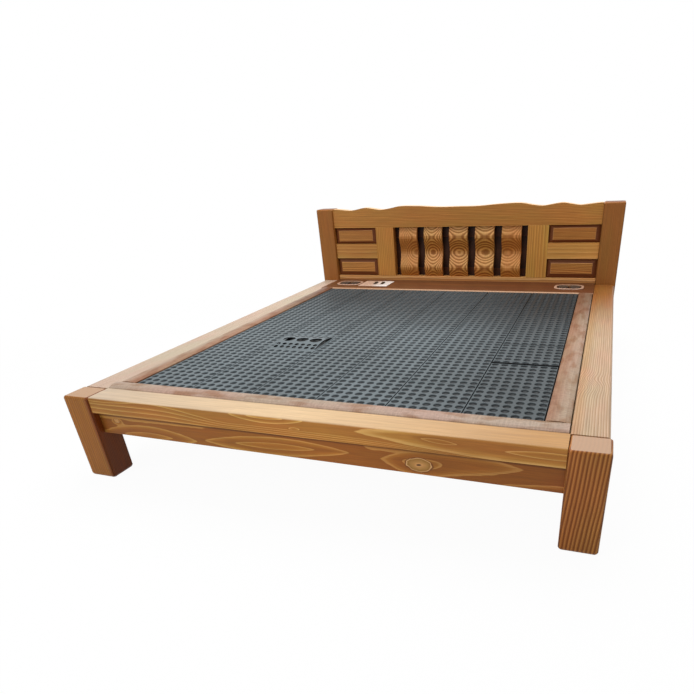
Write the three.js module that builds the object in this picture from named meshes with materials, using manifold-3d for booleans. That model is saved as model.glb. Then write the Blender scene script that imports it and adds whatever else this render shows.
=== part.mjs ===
// A heated bed with a solid wood frame: a low bedstead whose floor carries two electric heating
// panels under a dimpled rubber mat, a padded border round the mat, and a deck at the head end
// with a controller for each half, a switch plate and the mains inlet.
// Millimetres, +Z up, -Y is the foot end, the origin is on the floor under the middle of the bed.

import * as THREE from 'three';
import { ConvexGeometry } from 'three/addons/geometries/ConvexGeometry.js';
import { RoundedBoxGeometry } from 'three/addons/geometries/RoundedBoxGeometry.js';
import { mergeVertices } from 'three/addons/utils/BufferGeometryUtils.js';
import Module from 'manifold-3d';

const wasm = await Module();
wasm.setup();

// Clearances
const fit = 0.3;
const overrun = 6;

// Mat of tiles, with one tile raised to an arch
const tileColumns = 6;
const tileRows = 7;
const tileWidth = 250;
const tileLength = 240;
const matThickness = 12;
const matTop = 334;
const seamWidth = 2.4;
const seamDepth = 2;
const matEdgeGap = 3;
const dimpleCount = 7;
const dimpleRadius = 14;
const dimpleDepth = 5;
const archRise = 14;
const archWall = 4.5;
const archLip = 11;
const archEdge = 8;
const archRows = 2;
const archRowStart = 17;
const archRowSpacing = 25;
const archColumn = 1;
const archRow = 2;
const openColumn = 5;
const holeColumns = 7;
const holeMargin = 13.5;
const smallHoleRadius = 10;
const largeHoleRadius = 27.5;
const largeHoleSpacing = 65.5;
const largeHoleCount = 3;
const openSeam = 6;

// Border and deck around the mat
const sideBorderWidth = 75;
const footBorderWidth = 56;
const borderRise = 5;
const borderCrown = 3;
const borderShoulder = 8;
const borderGap = 4;
const deckLength = 278;
const deckRise = 4;
const deckThickness = 16;
const deckWall = 18;
const deckNose = 7;

// Bed frame
const postWidth = 113;
const postDepth = 100;
const postEase = 5;
const footEase = 11;
const boardEase = 3;
const railTop = 332;
const railHeight = 146;
const railEase = 10;
const footRailSetback = 6;
const footRailEase = 8;
const sideRailSetback = 7;
const upperBandHeight = 59;
const bandStepLeft = 22;
const bandStepRight = 13;

// Headboard
const headPostTop = 769;
const headFieldSetback = 12;
const headRailThickness = 50;
const bottomRailTop = 364;
const topRailDrop = 112;
const topRailTroughHeight = 101;
const topRailWaveHeight = 18.5;
const stileWidth = 118;
const slatFieldShare = 0.509;
const midRailHeight = 88;
const lowerPanelShare = 0.527;
const panelSideMargin = 28;
const upperPanelMargin = 18;
const lowerPanelMargin = 26;
const panelSetback = 4;
const panelSlopeDepth = 15;
const panelThickness = 32;
const slatCount = 5;
const slatGap = 47;
const slatEndGap = 38.5;
const slatThickness = 24;
const slatSetback = 12;
const slatWaveDepth = 12;
const slatWaveLength = 181;
const slatWaveCrestDepth = 60;
const backBoardThickness = 6;
const backBoardLap = 34;

// Floor of the bed, from the mat down
const heaterThickness = 5;
const insulationThickness = 20;
const baseThickness = 15;
const ledgerSize = 40;
const beamWidth = 60;
const beamHeight = 80;
const centreLegSize = 60;

// Controllers in the deck
const controllerInset = 138;
const controllerSetback = 133;
const bezelWidth = 166;
const bezelDepth = 124;
const bezelThickness = 4;
const bezelEase = 1.5;
const bezelMargin = 9;
const faceMargin = 14;
const faceThickness = 3.5;
const faceRecess = 1.2;
const faceLedge = 5;
const housingDepth = 38;
const housingFloor = 3;
const keyWidth = 52;
const keyDepth = 66;
const keySpacing = 64;
const keyProud = 1.6;
const keyFlange = 2.5;
const keyFlangeThickness = 2;
const keyClearance = 0.5;

// Switch plate with two rockers
const plateGap = 184;
const plateSetback = 135;
const plateWidth = 190;
const plateDepth = 150;
const plateThickness = 3;
const plateEase = 1;
const rockerShift = 18;
const rockerSpacing = 47;
const rockerWidth = 20;
const rockerLength = 46;
const rockerPinDepth = 7;
const rockerBelowPin = 3;
const rockerMiddleRise = 8.5;
const rockerEndRise = 11.5;
const rockerClearance = 1.2;
const rockerTilt = 6;
const pinRadius = 2;
const pinLength = 2.5;
const wellWall = 4;
const wellDepth = 32;

// Mains inlet and the leads under the deck
const inletInset = 265;
const inletWidth = 30;
const inletHeight = 18;
const inletFlange = 6;
const inletWall = 3;
const socketDepth = 20;
const bladeCount = 3;
const bladeWidth = 4;
const bladeThickness = 2;
const bladeSpacing = 7;
const bladeRecess = 7;
const leadRadius = 3;
const leadGap = 250;
const leadNotchMargin = 2;
const leadBend = 45;

// Sizes that follow from the ones above
const matWidth = tileColumns * tileWidth;
const matLength = tileRows * tileLength;
const dimplePitchX = tileWidth / dimpleCount;
const dimplePitchY = tileLength / dimpleCount;
const openingWidth = matWidth + 2 * sideBorderWidth;
const openingLength = footBorderWidth + matLength + deckLength;
const overallWidth = openingWidth + 2 * postWidth;
const overallLength = openingLength + 2 * postDepth - headFieldSetback;
const frontY = -overallLength / 2;
const backY = overallLength / 2;
const footInnerY = frontY + postDepth;
const matFrontY = footInnerY + footBorderWidth;
const matBackY = matFrontY + matLength;
const fieldY = matBackY + deckLength;
const fieldBackY = fieldY + headRailThickness;
const headPostY = backY - postDepth;
const railBottom = railTop - railHeight;
const topRailBottom = headPostTop - topRailDrop;
const slatFieldWidth = slatFieldShare * openingWidth;
const slatWidth = (slatFieldWidth - 2 * slatEndGap - (slatCount - 1) * slatGap) / slatCount;
const matBottom = matTop - matThickness;
const heaterTop = matBottom - fit;
const insulationTop = heaterTop - heaterThickness - fit;
const baseTop = insulationTop - insulationThickness - fit;
const baseBottom = baseTop - baseThickness;
const supportTop = baseBottom - fit;
const deckTop = matTop + deckRise;
const deckUnder = deckTop - deckThickness;
const controllerOffset = openingWidth / 2 - controllerInset;
const controllerY = fieldY - controllerSetback;
const plateCentreX = plateGap - controllerOffset;
const plateY = fieldY - plateSetback;
const inletX = openingWidth / 2 - inletInset;
const inletZ = (baseTop + deckUnder) / 2;
const inletDepth = socketDepth + inletWall;
const leadOffset = controllerOffset - leadGap;
const leadStartZ = heaterTop - heaterThickness / 2;
const wellX = plateCentreX + rockerShift;
const wellHoleWidth = rockerSpacing + rockerWidth + 2 * (pinLength + wellWall);
const wellHoleLength = rockerLength + 2 * (rockerClearance + wellWall);

// Counts and shares that only set how finely a round shape is faceted
const domeSegments = 6;
const waveDivisions = 3;
const slatSegments = 22;
const archSegments = 20;
const ovalSegments = 36;
const ovalPower = 3.2;
const lobePower = 2.8;
const dimpleSides = 4;
const holeSides = 8;
const largeHoleSides = 16;
const leadSides = 8;
const heaterLeadSteps = 26;
const supplyLeadSteps = 44;
const borderDomeShare = 0.25;
const leadDropShares = [0.1, 0.35];
const leadRiseShares = [0.75, 0.98];

// Finishes
const finishes = {
  pine: { color: 0x9a6a36, roughness: 0.5, metalness: 0 },
  pineLight: { color: 0xb98a52, roughness: 0.5, metalness: 0 },
  panel: { color: 0x8a5a2c, roughness: 0.45, metalness: 0 },
  backing: { color: 0x241a12, roughness: 0.8, metalness: 0 },
  border: { color: 0x9c6f50, roughness: 0.55, metalness: 0 },
  deck: { color: 0x7c4a2c, roughness: 0.5, metalness: 0 },
  mat: { color: 0x606a6c, roughness: 0.6, metalness: 0 },
  heater: { color: 0x2c2c2c, roughness: 0.5, metalness: 0 },
  insulation: { color: 0xd8d4c6, roughness: 0.9, metalness: 0 },
  plywood: { color: 0xb89468, roughness: 0.8, metalness: 0 },
  bezel: { color: 0xb39a86, roughness: 0.3, metalness: 0.6 },
  face: { color: 0x1c1815, roughness: 0.15, metalness: 0 },
  key: { color: 0x4a443a, roughness: 0.3, metalness: 0 },
  plate: { color: 0xe4d6cc, roughness: 0.35, metalness: 0 },
  rocker: { color: 0x332a26, roughness: 0.3, metalness: 0 },
  lead: { color: 0x202020, roughness: 0.6, metalness: 0 },
};

const bed = new THREE.Group();

function addPiece(name, geometry, finish, parent = bed) {
  const mesh = new THREE.Mesh(geometry, new THREE.MeshStandardMaterial(finishes[finish]));
  mesh.name = name;
  parent.add(mesh);
  return mesh;
}

// A closed three.js geometry as a manifold solid, and back again.
function toSolid(geometry) {
  const plain = geometry.clone();
  plain.deleteAttribute('normal');
  plain.deleteAttribute('uv');
  const merged = mergeVertices(plain);
  return new wasm.Manifold(new wasm.Mesh({
    numProp: 3,
    vertProperties: new Float32Array(merged.attributes.position.array),
    triVerts: new Uint32Array(merged.index.array),
  }));
}

function toGeometry(solid) {
  const mesh = solid.getMesh();
  const geometry = new THREE.BufferGeometry();
  const positions = new Float32Array(mesh.vertProperties);
  geometry.setAttribute('position', new THREE.BufferAttribute(positions, mesh.numProp));
  geometry.setIndex(new THREE.BufferAttribute(new Uint32Array(mesh.triVerts), 1));
  geometry.computeVertexNormals();
  return geometry;
}

function cut(body, tools) {
  return tools.reduce((left, tool) => left.subtract(toSolid(tool)), toSolid(body));
}

function join(parts) {
  return parts.slice(1).reduce((whole, part) => whole.add(toSolid(part)), toSolid(parts[0]));
}

// A box between two corners, plain or with every edge eased.
function block(low, high, ease = 0) {
  const [width, depth, height] = high.map((value, axis) => value - low[axis]);
  const geometry = ease > 0
    ? new RoundedBoxGeometry(width, depth, height, 1, ease)
    : new THREE.BoxGeometry(width, depth, height);
  return geometry.translate((low[0] + high[0]) / 2, (low[1] + high[1]) / 2, (low[2] + high[2]) / 2);
}

// Outlines drawn in one plane and pushed along the third axis.
function pushAlongZ(outlineXY, z0, z1, curveSegments = domeSegments) {
  const options = { depth: z1 - z0, bevelEnabled: false, curveSegments };
  return new THREE.ExtrudeGeometry(outlineXY, options).translate(0, 0, z0);
}

function pushAlongX(outlineYZ, x0, x1) {
  const turn = new THREE.Matrix4().set(0, 0, 1, 0, 1, 0, 0, 0, 0, 1, 0, 0, 0, 0, 0, 1);
  return pushAlongZ(outlineYZ, x0, x1).applyMatrix4(turn);
}

function pushAlongY(outlineXZ, y0, y1, curveSegments = domeSegments) {
  return pushAlongZ(outlineXZ, -y1, -y0, curveSegments).rotateX(Math.PI / 2);
}

function polygon(points) {
  return new THREE.Shape(points.map(([a, b]) => new THREE.Vector2(a, b)));
}

// A soft-cornered oval, centred on zero.
function oval(width, depth, power) {
  const points = [];
  for (let step = 0; step < ovalSegments; step += 1) {
    const angle = (step / ovalSegments) * 2 * Math.PI;
    const cos = Math.cos(angle);
    const sin = Math.sin(angle);
    const x = Math.sign(cos) * Math.abs(cos) ** (2 / power) * width / 2;
    const y = Math.sign(sin) * Math.abs(sin) ** (2 / power) * depth / 2;
    points.push([x, y]);
  }
  return polygon(points);
}

// The same outline on the right (1) or mirrored to the left (-1).
function onSide(outline, sign) {
  return polygon(outline.getPoints(domeSegments).map((point) => [sign * point.x, point.y]));
}

const sides = [
  { name: 'left', sign: -1 },
  { name: 'right', sign: 1 },
];

function spanX(sign, near, far) {
  return sign > 0 ? [near, far] : [-far, -near];
}

// A post with eased edges and a rounder foot, as the hull of rings up its height.
function post([x0, x1], [y0, y1], top) {
  const low = footEase * (1 - Math.SQRT1_2);
  const rings = [[0, footEase], [low, low], [footEase, 0], [top - postEase, 0], [top, postEase]];
  const points = [];
  for (const [z, inset] of rings) {
    const width = (x1 - x0) / 2 - inset;
    const depth = (y1 - y0) / 2 - inset;
    for (const sx of [-1, 1]) {
      for (const sy of [-1, 1]) {
        points.push([sx * width, sy * (depth - postEase), z], [sx * (width - postEase), sy * depth, z]);
      }
    }
  }
  const hull = new ConvexGeometry(points.map(([x, y, z]) => new THREE.Vector3(x, y, z)));
  return hull.translate((x0 + x1) / 2, (y0 + y1) / 2, 0);
}

// Posts: the front pair ends flush with the rails, the rear pair carries the headboard.
function buildPosts() {
  for (const { name, sign } of sides) {
    const spread = spanX(sign, openingWidth / 2, overallWidth / 2);
    addPiece(`leg_front_${name}`, post(spread, [frontY, footInnerY], railTop), 'pine');
    addPiece(`headboard_post_${name}`, post(spread, [headPostY, backY], headPostTop), 'pine');
  }
}

// Foot rail: an upper band stands proud of the lower one, more so at the left end.
function buildFootRail() {
  const faceY = frontY + footRailSetback;
  const halfLength = openingWidth / 2 - fit;
  const stepZ = railTop - upperBandHeight;
  const outline = new THREE.Shape();
  outline.moveTo(faceY, railBottom);
  outline.lineTo(footInnerY, railBottom);
  outline.lineTo(footInnerY, railTop);
  outline.lineTo(faceY + footRailEase, railTop);
  outline.absarc(faceY + footRailEase, railTop - footRailEase, footRailEase, Math.PI / 2, Math.PI, false);
  const recess = polygon([
    [-halfLength - overrun, faceY - overrun],
    [halfLength + overrun, faceY - overrun],
    [halfLength + overrun, faceY + bandStepRight],
    [-halfLength - overrun, faceY + bandStepLeft],
  ]);
  const board = pushAlongX(outline, -halfLength, halfLength);
  const rail = cut(board, [pushAlongZ(recess, railBottom - overrun, stepZ)]);
  addPiece('foot_rail', toGeometry(rail), 'pineLight');
}

function buildSideRails() {
  const outerX = overallWidth / 2 - sideRailSetback;
  const outline = new THREE.Shape();
  outline.moveTo(openingWidth / 2, railBottom);
  outline.lineTo(outerX, railBottom);
  outline.lineTo(outerX, railTop - railEase);
  outline.absarc(outerX - railEase, railTop - railEase, railEase, 0, Math.PI / 2, false);
  outline.lineTo(openingWidth / 2, railTop);
  for (const { name, sign } of sides) {
    const rail = pushAlongY(onSide(outline, sign), footInnerY + fit, headPostY - fit);
    addPiece(`side_rail_${name}`, rail, 'pineLight');
  }
}

// Wavy top edge of the headboard: share of the half length, share of the wave's height.
const topWaveShares = [
  [0, 0.43], [0.145, 0.43], [0.295, 0.86], [0.444, 1], [0.525, 0.43], [0.6, 0.05], [0.66, 0.38],
  [0.73, 0.76], [0.79, 0.38], [0.848, 0], [0.91, 0.22], [0.976, 0.49], [1, 0.49],
];

function buildTopRail() {
  const half = openingWidth / 2 - fit;
  const troughZ = topRailBottom + topRailTroughHeight;
  const right = topWaveShares.map(([along, rise]) => (
    new THREE.Vector2(along * half, troughZ + rise * topRailWaveHeight)
  ));
  const left = right.slice(1).map((point) => new THREE.Vector2(-point.x, point.y));
  const crest = [...left.reverse(), ...right].reverse();
  const outline = new THREE.Shape();
  outline.moveTo(-half, topRailBottom);
  outline.lineTo(half, topRailBottom);
  outline.lineTo(half, crest[0].y);
  outline.splineThru(crest.slice(1));
  addPiece('headboard_top_rail', pushAlongY(outline, fieldY, fieldBackY, waveDivisions), 'pine');
}

function buildHeadFrame() {
  const half = openingWidth / 2 - fit;
  const stileInner = slatFieldWidth / 2;
  const stileOuter = stileInner + stileWidth;
  const midBottom = bottomRailTop + lowerPanelShare * (topRailBottom - bottomRailTop - midRailHeight);
  const slot = block(
    [inletX - inletWidth / 2 - fit, fieldY - overrun, inletZ - inletHeight / 2 - fit],
    [inletX + inletWidth / 2 + fit, fieldBackY + overrun, inletZ + inletHeight / 2 + fit],
  );
  const bottomRail = block([-half, fieldY, railBottom], [half, fieldBackY, bottomRailTop]);
  addPiece('headboard_bottom_rail', toGeometry(cut(bottomRail, [slot])), 'pine');
  for (const { name, sign } of sides) {
    const [s0, s1] = spanX(sign, stileInner, stileOuter);
    const stile = block([s0, fieldY, bottomRailTop + fit], [s1, fieldBackY, topRailBottom - fit]);
    addPiece(`headboard_stile_${name}`, stile, 'pine');
    const [m0, m1] = spanX(sign, stileOuter + fit, half);
    const midRail = block([m0, fieldY, midBottom], [m1, fieldBackY, midBottom + midRailHeight]);
    addPiece(`headboard_mid_rail_${name}`, midRail, 'pine');
    const middleX = (m0 + m1) / 2;
    const upper = [midBottom + midRailHeight + fit, topRailBottom - fit];
    const lower = [bottomRailTop + fit, midBottom - fit];
    addPiece(`panel_upper_${name}`, raisedPanel(middleX, m1 - m0, upper, upperPanelMargin), 'panel');
    addPiece(`panel_lower_${name}`, raisedPanel(middleX, m1 - m0, lower, lowerPanelMargin), 'panel');
  }
}

// A panel with a raised field in front and a slope down to its edges on all four sides.
function raisedPanel(middleX, width, [z0, z1], margin) {
  const middleZ = (z0 + z1) / 2;
  const front = fieldY + panelSetback;
  const edge = front + panelSlopeDepth;
  const back = front + panelThickness;
  const points = [];
  for (const sx of [-1, 1]) {
    for (const sz of [-1, 1]) {
      const x = sx * width / 2;
      const z = sz * (z1 - z0) / 2;
      points.push([x - sx * panelSideMargin, front, z - sz * margin], [x, edge, z], [x, back, z]);
    }
  }
  return new ConvexGeometry(points.map(([x, y, z]) => new THREE.Vector3(middleX + x, y, middleZ + z)));
}

// Five slats, each a thick board sawn to a wave front and back.
function buildWaveSlats() {
  const z0 = bottomRailTop + fit;
  const z1 = topRailBottom - fit;
  const crestZ = topRailBottom - slatWaveCrestDepth;
  const middle = fieldY + slatSetback;
  const front = [];
  for (let step = 0; step <= slatSegments; step += 1) {
    const z = z0 + (z1 - z0) * step / slatSegments;
    const wave = Math.cos((z - crestZ) / slatWaveLength * 2 * Math.PI);
    front.push([middle - slatWaveDepth * wave, z]);
  }
  const back = front.map(([y, z]) => [y + slatThickness, z]).reverse();
  for (let index = 0; index < slatCount; index += 1) {
    const x = (index - (slatCount - 1) / 2) * (slatWidth + slatGap);
    const slat = pushAlongX(polygon([...back, ...front]), x - slatWidth / 2, x + slatWidth / 2);
    addPiece(`wave_slat_${index + 1}`, slat, 'pine');
  }
}

function buildBackBoard() {
  const half = openingWidth / 2 - fit;
  const y0 = fieldBackY + fit;
  const low = [-half, y0, bottomRailTop - backBoardLap];
  const high = [half, y0 + backBoardThickness, topRailBottom + backBoardLap];
  addPiece('headboard_back_board', block(low, high), 'backing');
}

// The border's section: an upright inside edge, a domed top, and a rounded outside edge.
function borderOutline(inner, outer) {
  const top = matTop + borderRise;
  const reach = outer - inner;
  const outline = new THREE.Shape();
  outline.moveTo(inner, baseTop + fit);
  outline.lineTo(inner, top - borderCrown);
  const dome = reach * borderDomeShare;
  outline.quadraticCurveTo(inner, top, inner + dome, top + borderCrown / 2);
  outline.quadraticCurveTo(inner + reach / 2, top + borderCrown, outer - dome, top);
  outline.quadraticCurveTo(outer, top - borderCrown, outer, top - borderShoulder);
  outline.lineTo(outer, baseTop + fit);
  return outline;
}

function buildBorders() {
  const half = openingWidth / 2 - borderGap;
  const outline = borderOutline(matWidth / 2 + fit, half);
  for (const { name, sign } of sides) {
    addPiece(`border_${name}`, pushAlongY(onSide(outline, sign), matFrontY + fit, matBackY - fit), 'border');
  }
  const footOutline = onSide(borderOutline(-matFrontY + fit, -footInnerY - fit), -1);
  addPiece('border_foot', pushAlongX(footOutline, -half, half), 'border');
}

// Deck at the head end: a top on walls, standing on the bed's floor with room for leads inside.
function buildDeck() {
  const half = openingWidth / 2 - fit;
  const y0 = matBackY + fit;
  const y1 = fieldY - fit;
  const outline = new THREE.Shape();
  outline.moveTo(y1, baseTop + fit);
  outline.lineTo(y1, deckTop);
  outline.lineTo(y0 + deckNose, deckTop);
  outline.absarc(y0 + deckNose, deckTop - deckNose, deckNose, Math.PI / 2, Math.PI, false);
  outline.lineTo(y0, baseTop + fit);
  const pocket = block(
    [-half + deckWall, y0 + deckWall, baseTop - overrun],
    [half - deckWall, y1 - deckWall, deckUnder],
  );
  const plateHole = block(
    [wellX - wellHoleWidth / 2, plateY - wellHoleLength / 2, deckUnder - overrun],
    [wellX + wellHoleWidth / 2, plateY + wellHoleLength / 2, deckTop + overrun],
  );
  const inletHole = block(
    [inletX - inletWidth / 2 - fit, y1 - deckWall - overrun, inletZ - inletHeight / 2 - fit],
    [inletX + inletWidth / 2 + fit, y1 + overrun, inletZ + inletHeight / 2 + fit],
  );
  const housingWidth = bezelWidth - 2 * bezelMargin;
  const housingLength = bezelDepth - 2 * bezelMargin;
  const tools = [pocket, plateHole, inletHole];
  for (const { sign } of sides) {
    const hole = oval(housingWidth + 2 * fit, housingLength + 2 * fit, ovalPower);
    const bore = pushAlongZ(hole, deckUnder - overrun, deckTop + overrun);
    tools.push(bore.translate(sign * controllerOffset, controllerY, 0));
    const notch = leadRadius + leadNotchMargin;
    tools.push(block(
      [sign * leadOffset - notch, y0 - overrun, baseTop - overrun],
      [sign * leadOffset + notch, y0 + deckWall + overrun, leadStartZ + notch],
    ));
  }
  addPiece('head_deck', toGeometry(cut(pushAlongX(outline, -half, half), tools)), 'deck');
}

// The tool that cuts one dimple into the mat's top: a pyramid with a round dimple's area, its sides
// along the tile's sides.
function dimpleTool(x, y) {
  const depth = dimpleDepth + overrun;
  const turn = 2 * Math.PI / dimpleSides;
  const cornerRadius = dimpleRadius * Math.sqrt(turn / Math.sin(turn));
  const radius = cornerRadius * depth / dimpleDepth;
  const cone = new THREE.ConeGeometry(radius, depth, dimpleSides).rotateY(turn / 2).rotateX(-Math.PI / 2);
  return cone.translate(x, y, matTop + overrun - depth / 2);
}

function dimplePlace(column, row, i, j) {
  const x = -matWidth / 2 + column * tileWidth + (i + 1 / 2) * dimplePitchX;
  const y = matFrontY + row * tileLength + (j + 1 / 2) * dimplePitchY;
  return [x, y];
}

// One strip of the mat between two tile seams, with a groove at each seam inside it. It has every
// second dimple, like the dark squares of a chequered board.
function matStrip(column, firstRow, lastRow, openFront = 0) {
  const leftGap = column === 0 ? matEdgeGap : fit / 2;
  const rightGap = column === tileColumns - 1 ? matEdgeGap : fit / 2;
  const x0 = -matWidth / 2 + column * tileWidth + leftGap;
  const x1 = -matWidth / 2 + (column + 1) * tileWidth - rightGap;
  const y0 = matFrontY + firstRow * tileLength + fit + openFront;
  const y1 = matFrontY + lastRow * tileLength - fit;
  const points = [[y1, matBottom], [y1, matTop]];
  for (let row = lastRow - 1; row > firstRow; row -= 1) {
    const seam = matFrontY + row * tileLength;
    points.push([seam + seamWidth / 2, matTop], [seam, matTop - seamDepth], [seam - seamWidth / 2, matTop]);
  }
  points.push([y0, matTop], [y0, matBottom]);
  const tools = [];
  for (let row = firstRow; row < lastRow; row += 1) {
    for (let i = 0; i < dimpleCount; i += 1) {
      for (let j = i % 2; j < dimpleCount; j += 2) {
        tools.push(dimpleTool(...dimplePlace(column, row, i, j)));
      }
    }
  }
  return toGeometry(cut(pushAlongX(polygon(points), x0, x1), tools));
}

// The raised tile: an arch with holes through it, in a flat frame that keeps one column of dimples
// on its left and one row behind it.
function archedTile(column, row) {
  const x0 = -matWidth / 2 + column * tileWidth + fit / 2;
  const x1 = x0 + tileWidth - fit;
  const y0 = matFrontY + row * tileLength + fit;
  const y1 = y0 + tileLength - 2 * fit;
  const archX = [x0 + dimplePitchX, x1 - archEdge];
  const archY = [y0 + archLip, y1 - dimplePitchY];
  const span = archY[1] - archY[0];
  const upper = [];
  const lower = [];
  for (let step = 0; step <= archSegments; step += 1) {
    const y = archY[0] + span * step / archSegments;
    const rise = archRise * Math.sin(Math.PI * step / archSegments);
    upper.push([y, matTop + rise]);
    lower.push([y, matTop + rise - archWall]);
  }
  const rootY = [archY[0] - archLip / 2, archY[1] + archLip / 2];
  const outline = polygon([
    [rootY[0], matTop - archWall], [rootY[0], matTop], ...upper, [rootY[1], matTop],
    [rootY[1], matTop - archWall], ...lower.reverse(),
  ]);
  const window = block(
    [archX[0], archY[0], matBottom - overrun],
    [archX[1], archY[1], matTop + overrun],
  );
  const frame = cut(block([x0, y0, matBottom], [x1, y1, matTop]), [window]);
  const whole = frame.add(toSolid(pushAlongX(outline, ...archX)));

  const middleX = (archX[0] + archX[1]) / 2;
  const middleY = (archY[0] + archY[1]) / 2;
  const height = matThickness + archRise + 2 * overrun;
  const drill = (x, y, radius, holeSideCount) => {
    const hole = new THREE.CylinderGeometry(radius, radius, height, holeSideCount).rotateX(Math.PI / 2);
    return hole.translate(x, y, matTop);
  };
  const tools = [];
  for (let index = 0; index < largeHoleCount; index += 1) {
    const x = middleX + (index - (largeHoleCount - 1) / 2) * largeHoleSpacing;
    tools.push(drill(x, middleY, largeHoleRadius, largeHoleSides));
  }
  const spacing = (archX[1] - archX[0] - 2 * holeMargin) / (holeColumns - 1);
  for (let line = 0; line < archRows; line += 1) {
    const away = span / 2 - archRowStart - line * archRowSpacing;
    for (let index = 0; index < holeColumns; index += 1) {
      const x = middleX + (index - (holeColumns - 1) / 2) * spacing;
      tools.push(drill(x, middleY - away, smallHoleRadius, holeSides));
      tools.push(drill(x, middleY + away, smallHoleRadius, holeSides));
    }
  }
  for (let index = 0; index < dimpleCount; index += 1) {
    tools.push(dimpleTool(...dimplePlace(column, row, 0, index)));
    if (index > 0) tools.push(dimpleTool(...dimplePlace(column, row, index, dimpleCount - 1)));
  }
  return toGeometry(tools.reduce((left, tool) => left.subtract(toSolid(tool)), whole));
}

function buildMat() {
  for (let column = 0; column < tileColumns; column += 1) {
    const name = `mat_strip_${column + 1}`;
    if (column === archColumn) {
      addPiece(`${name}_front`, matStrip(column, 0, archRow), 'mat');
      addPiece('mat_arched_tile', archedTile(column, archRow), 'mat');
      addPiece(`${name}_rear`, matStrip(column, archRow + 1, tileRows), 'mat');
    } else if (column === openColumn) {
      addPiece(`${name}_front`, matStrip(column, 0, archRow), 'mat');
      addPiece(`${name}_rear`, matStrip(column, archRow, tileRows, openSeam), 'mat');
    } else {
      addPiece(name, matStrip(column, 0, tileRows), 'mat');
    }
  }
}

// Floor of the bed: heating panels, insulation, base boards, and what carries them.
function buildFloor() {
  const half = openingWidth / 2 - fit;
  const y0 = footInnerY + fit;
  const y1 = fieldY - fit;
  for (const { name, sign } of sides) {
    const [h0, h1] = spanX(sign, fit / 2, matWidth / 2 - fit);
    const heaterLow = [h0, matFrontY + fit, heaterTop - heaterThickness];
    addPiece(`heating_panel_${name}`, block(heaterLow, [h1, matBackY - fit, heaterTop]), 'heater');
    const [b0, b1] = spanX(sign, fit / 2, half);
    addPiece(`base_board_${name}`, block([b0, y0, baseBottom], [b1, y1, baseTop]), 'plywood');
    const [l0, l1] = spanX(sign, half - ledgerSize, half);
    addPiece(`ledger_${name}`, block([l0, y0, supportTop - ledgerSize], [l1, y1, supportTop]), 'pine');
  }
  const insulationLow = [-matWidth / 2 + fit, matFrontY + fit, insulationTop - insulationThickness];
  const insulationHigh = [matWidth / 2 - fit, matBackY - fit, insulationTop];
  addPiece('insulation_board', block(insulationLow, insulationHigh), 'insulation');
  const beamBottom = supportTop - beamHeight;
  addPiece('centre_beam', block([-beamWidth / 2, y0, beamBottom], [beamWidth / 2, y1, supportTop]), 'pine');
  const legReach = centreLegSize / 2;
  const centreLeg = block([-legReach, -legReach, 0], [legReach, legReach, beamBottom - fit], boardEase);
  addPiece('centre_leg', centreLeg, 'pine');
}

// Controller: a bezel with a housing below it, a glossy face, and two keys that travel down.
function buildController(name, sign) {
  const controller = new THREE.Group();
  controller.position.set(sign * controllerOffset, controllerY, 0);
  bed.add(controller);
  const bezelBottom = deckTop + fit;
  const bezelTop = bezelBottom + bezelThickness;
  const faceTop = bezelTop - faceRecess;
  const ledgeZ = faceTop - faceThickness - fit;
  const bodyWidth = bezelWidth - 2 * bezelMargin;
  const bodyLength = bezelDepth - 2 * bezelMargin;
  const pocketWidth = bezelWidth - 2 * faceMargin;
  const pocketLength = bezelDepth - 2 * faceMargin;
  const bezel = new THREE.ExtrudeGeometry(
    oval(bezelWidth - 2 * bezelEase, bezelDepth - 2 * bezelEase, ovalPower),
    {
      depth: bezelThickness - 2 * bezelEase,
      bevelThickness: bezelEase,
      bevelSize: bezelEase,
      bevelSegments: 1,
    },
  ).translate(0, 0, bezelBottom + bezelEase);
  const body = pushAlongZ(oval(bodyWidth, bodyLength, ovalPower), bezelTop - housingDepth, faceTop);
  const recess = pushAlongZ(oval(pocketWidth, pocketLength, ovalPower), ledgeZ, bezelTop + overrun);
  const inside = pushAlongZ(
    oval(pocketWidth - 2 * faceLedge, pocketLength - 2 * faceLedge, ovalPower),
    bezelTop - housingDepth + housingFloor,
    bezelTop,
  );
  const shell = join([bezel, body]).subtract(toSolid(recess)).subtract(toSolid(inside));
  addPiece(`controller_housing_${name}`, toGeometry(shell), 'bezel', controller);

  const faceBottom = faceTop - faceThickness;
  const faceOutline = oval(pocketWidth - 2 * fit, pocketLength - 2 * fit, ovalPower);
  const plate = pushAlongZ(faceOutline, faceBottom, faceTop);
  const keyHoles = sides.map((side) => pushAlongZ(
    oval(keyWidth + 2 * keyClearance, keyDepth + 2 * keyClearance, lobePower),
    faceBottom - overrun,
    faceTop + overrun,
  ).translate(side.sign * keySpacing / 2, 0, 0));
  addPiece(`controller_face_${name}`, toGeometry(cut(plate, keyHoles)), 'face', controller);

  for (const side of sides) {
    const flangeTop = faceBottom - fit;
    const keyBottom = flangeTop - keyFlangeThickness;
    const cap = pushAlongZ(oval(keyWidth, keyDepth, lobePower), keyBottom, faceTop + keyProud);
    const flangeOutline = oval(keyWidth + 2 * keyFlange, keyDepth + 2 * keyFlange, lobePower);
    const flange = pushAlongZ(flangeOutline, keyBottom, flangeTop);
    const keyName = `temperature_key_${name}_${side.sign < 0 ? 'down' : 'up'}`;
    const key = addPiece(keyName, toGeometry(join([cap, flange])), 'key', controller);
    key.position.x = side.sign * keySpacing / 2;
  }
}

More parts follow.
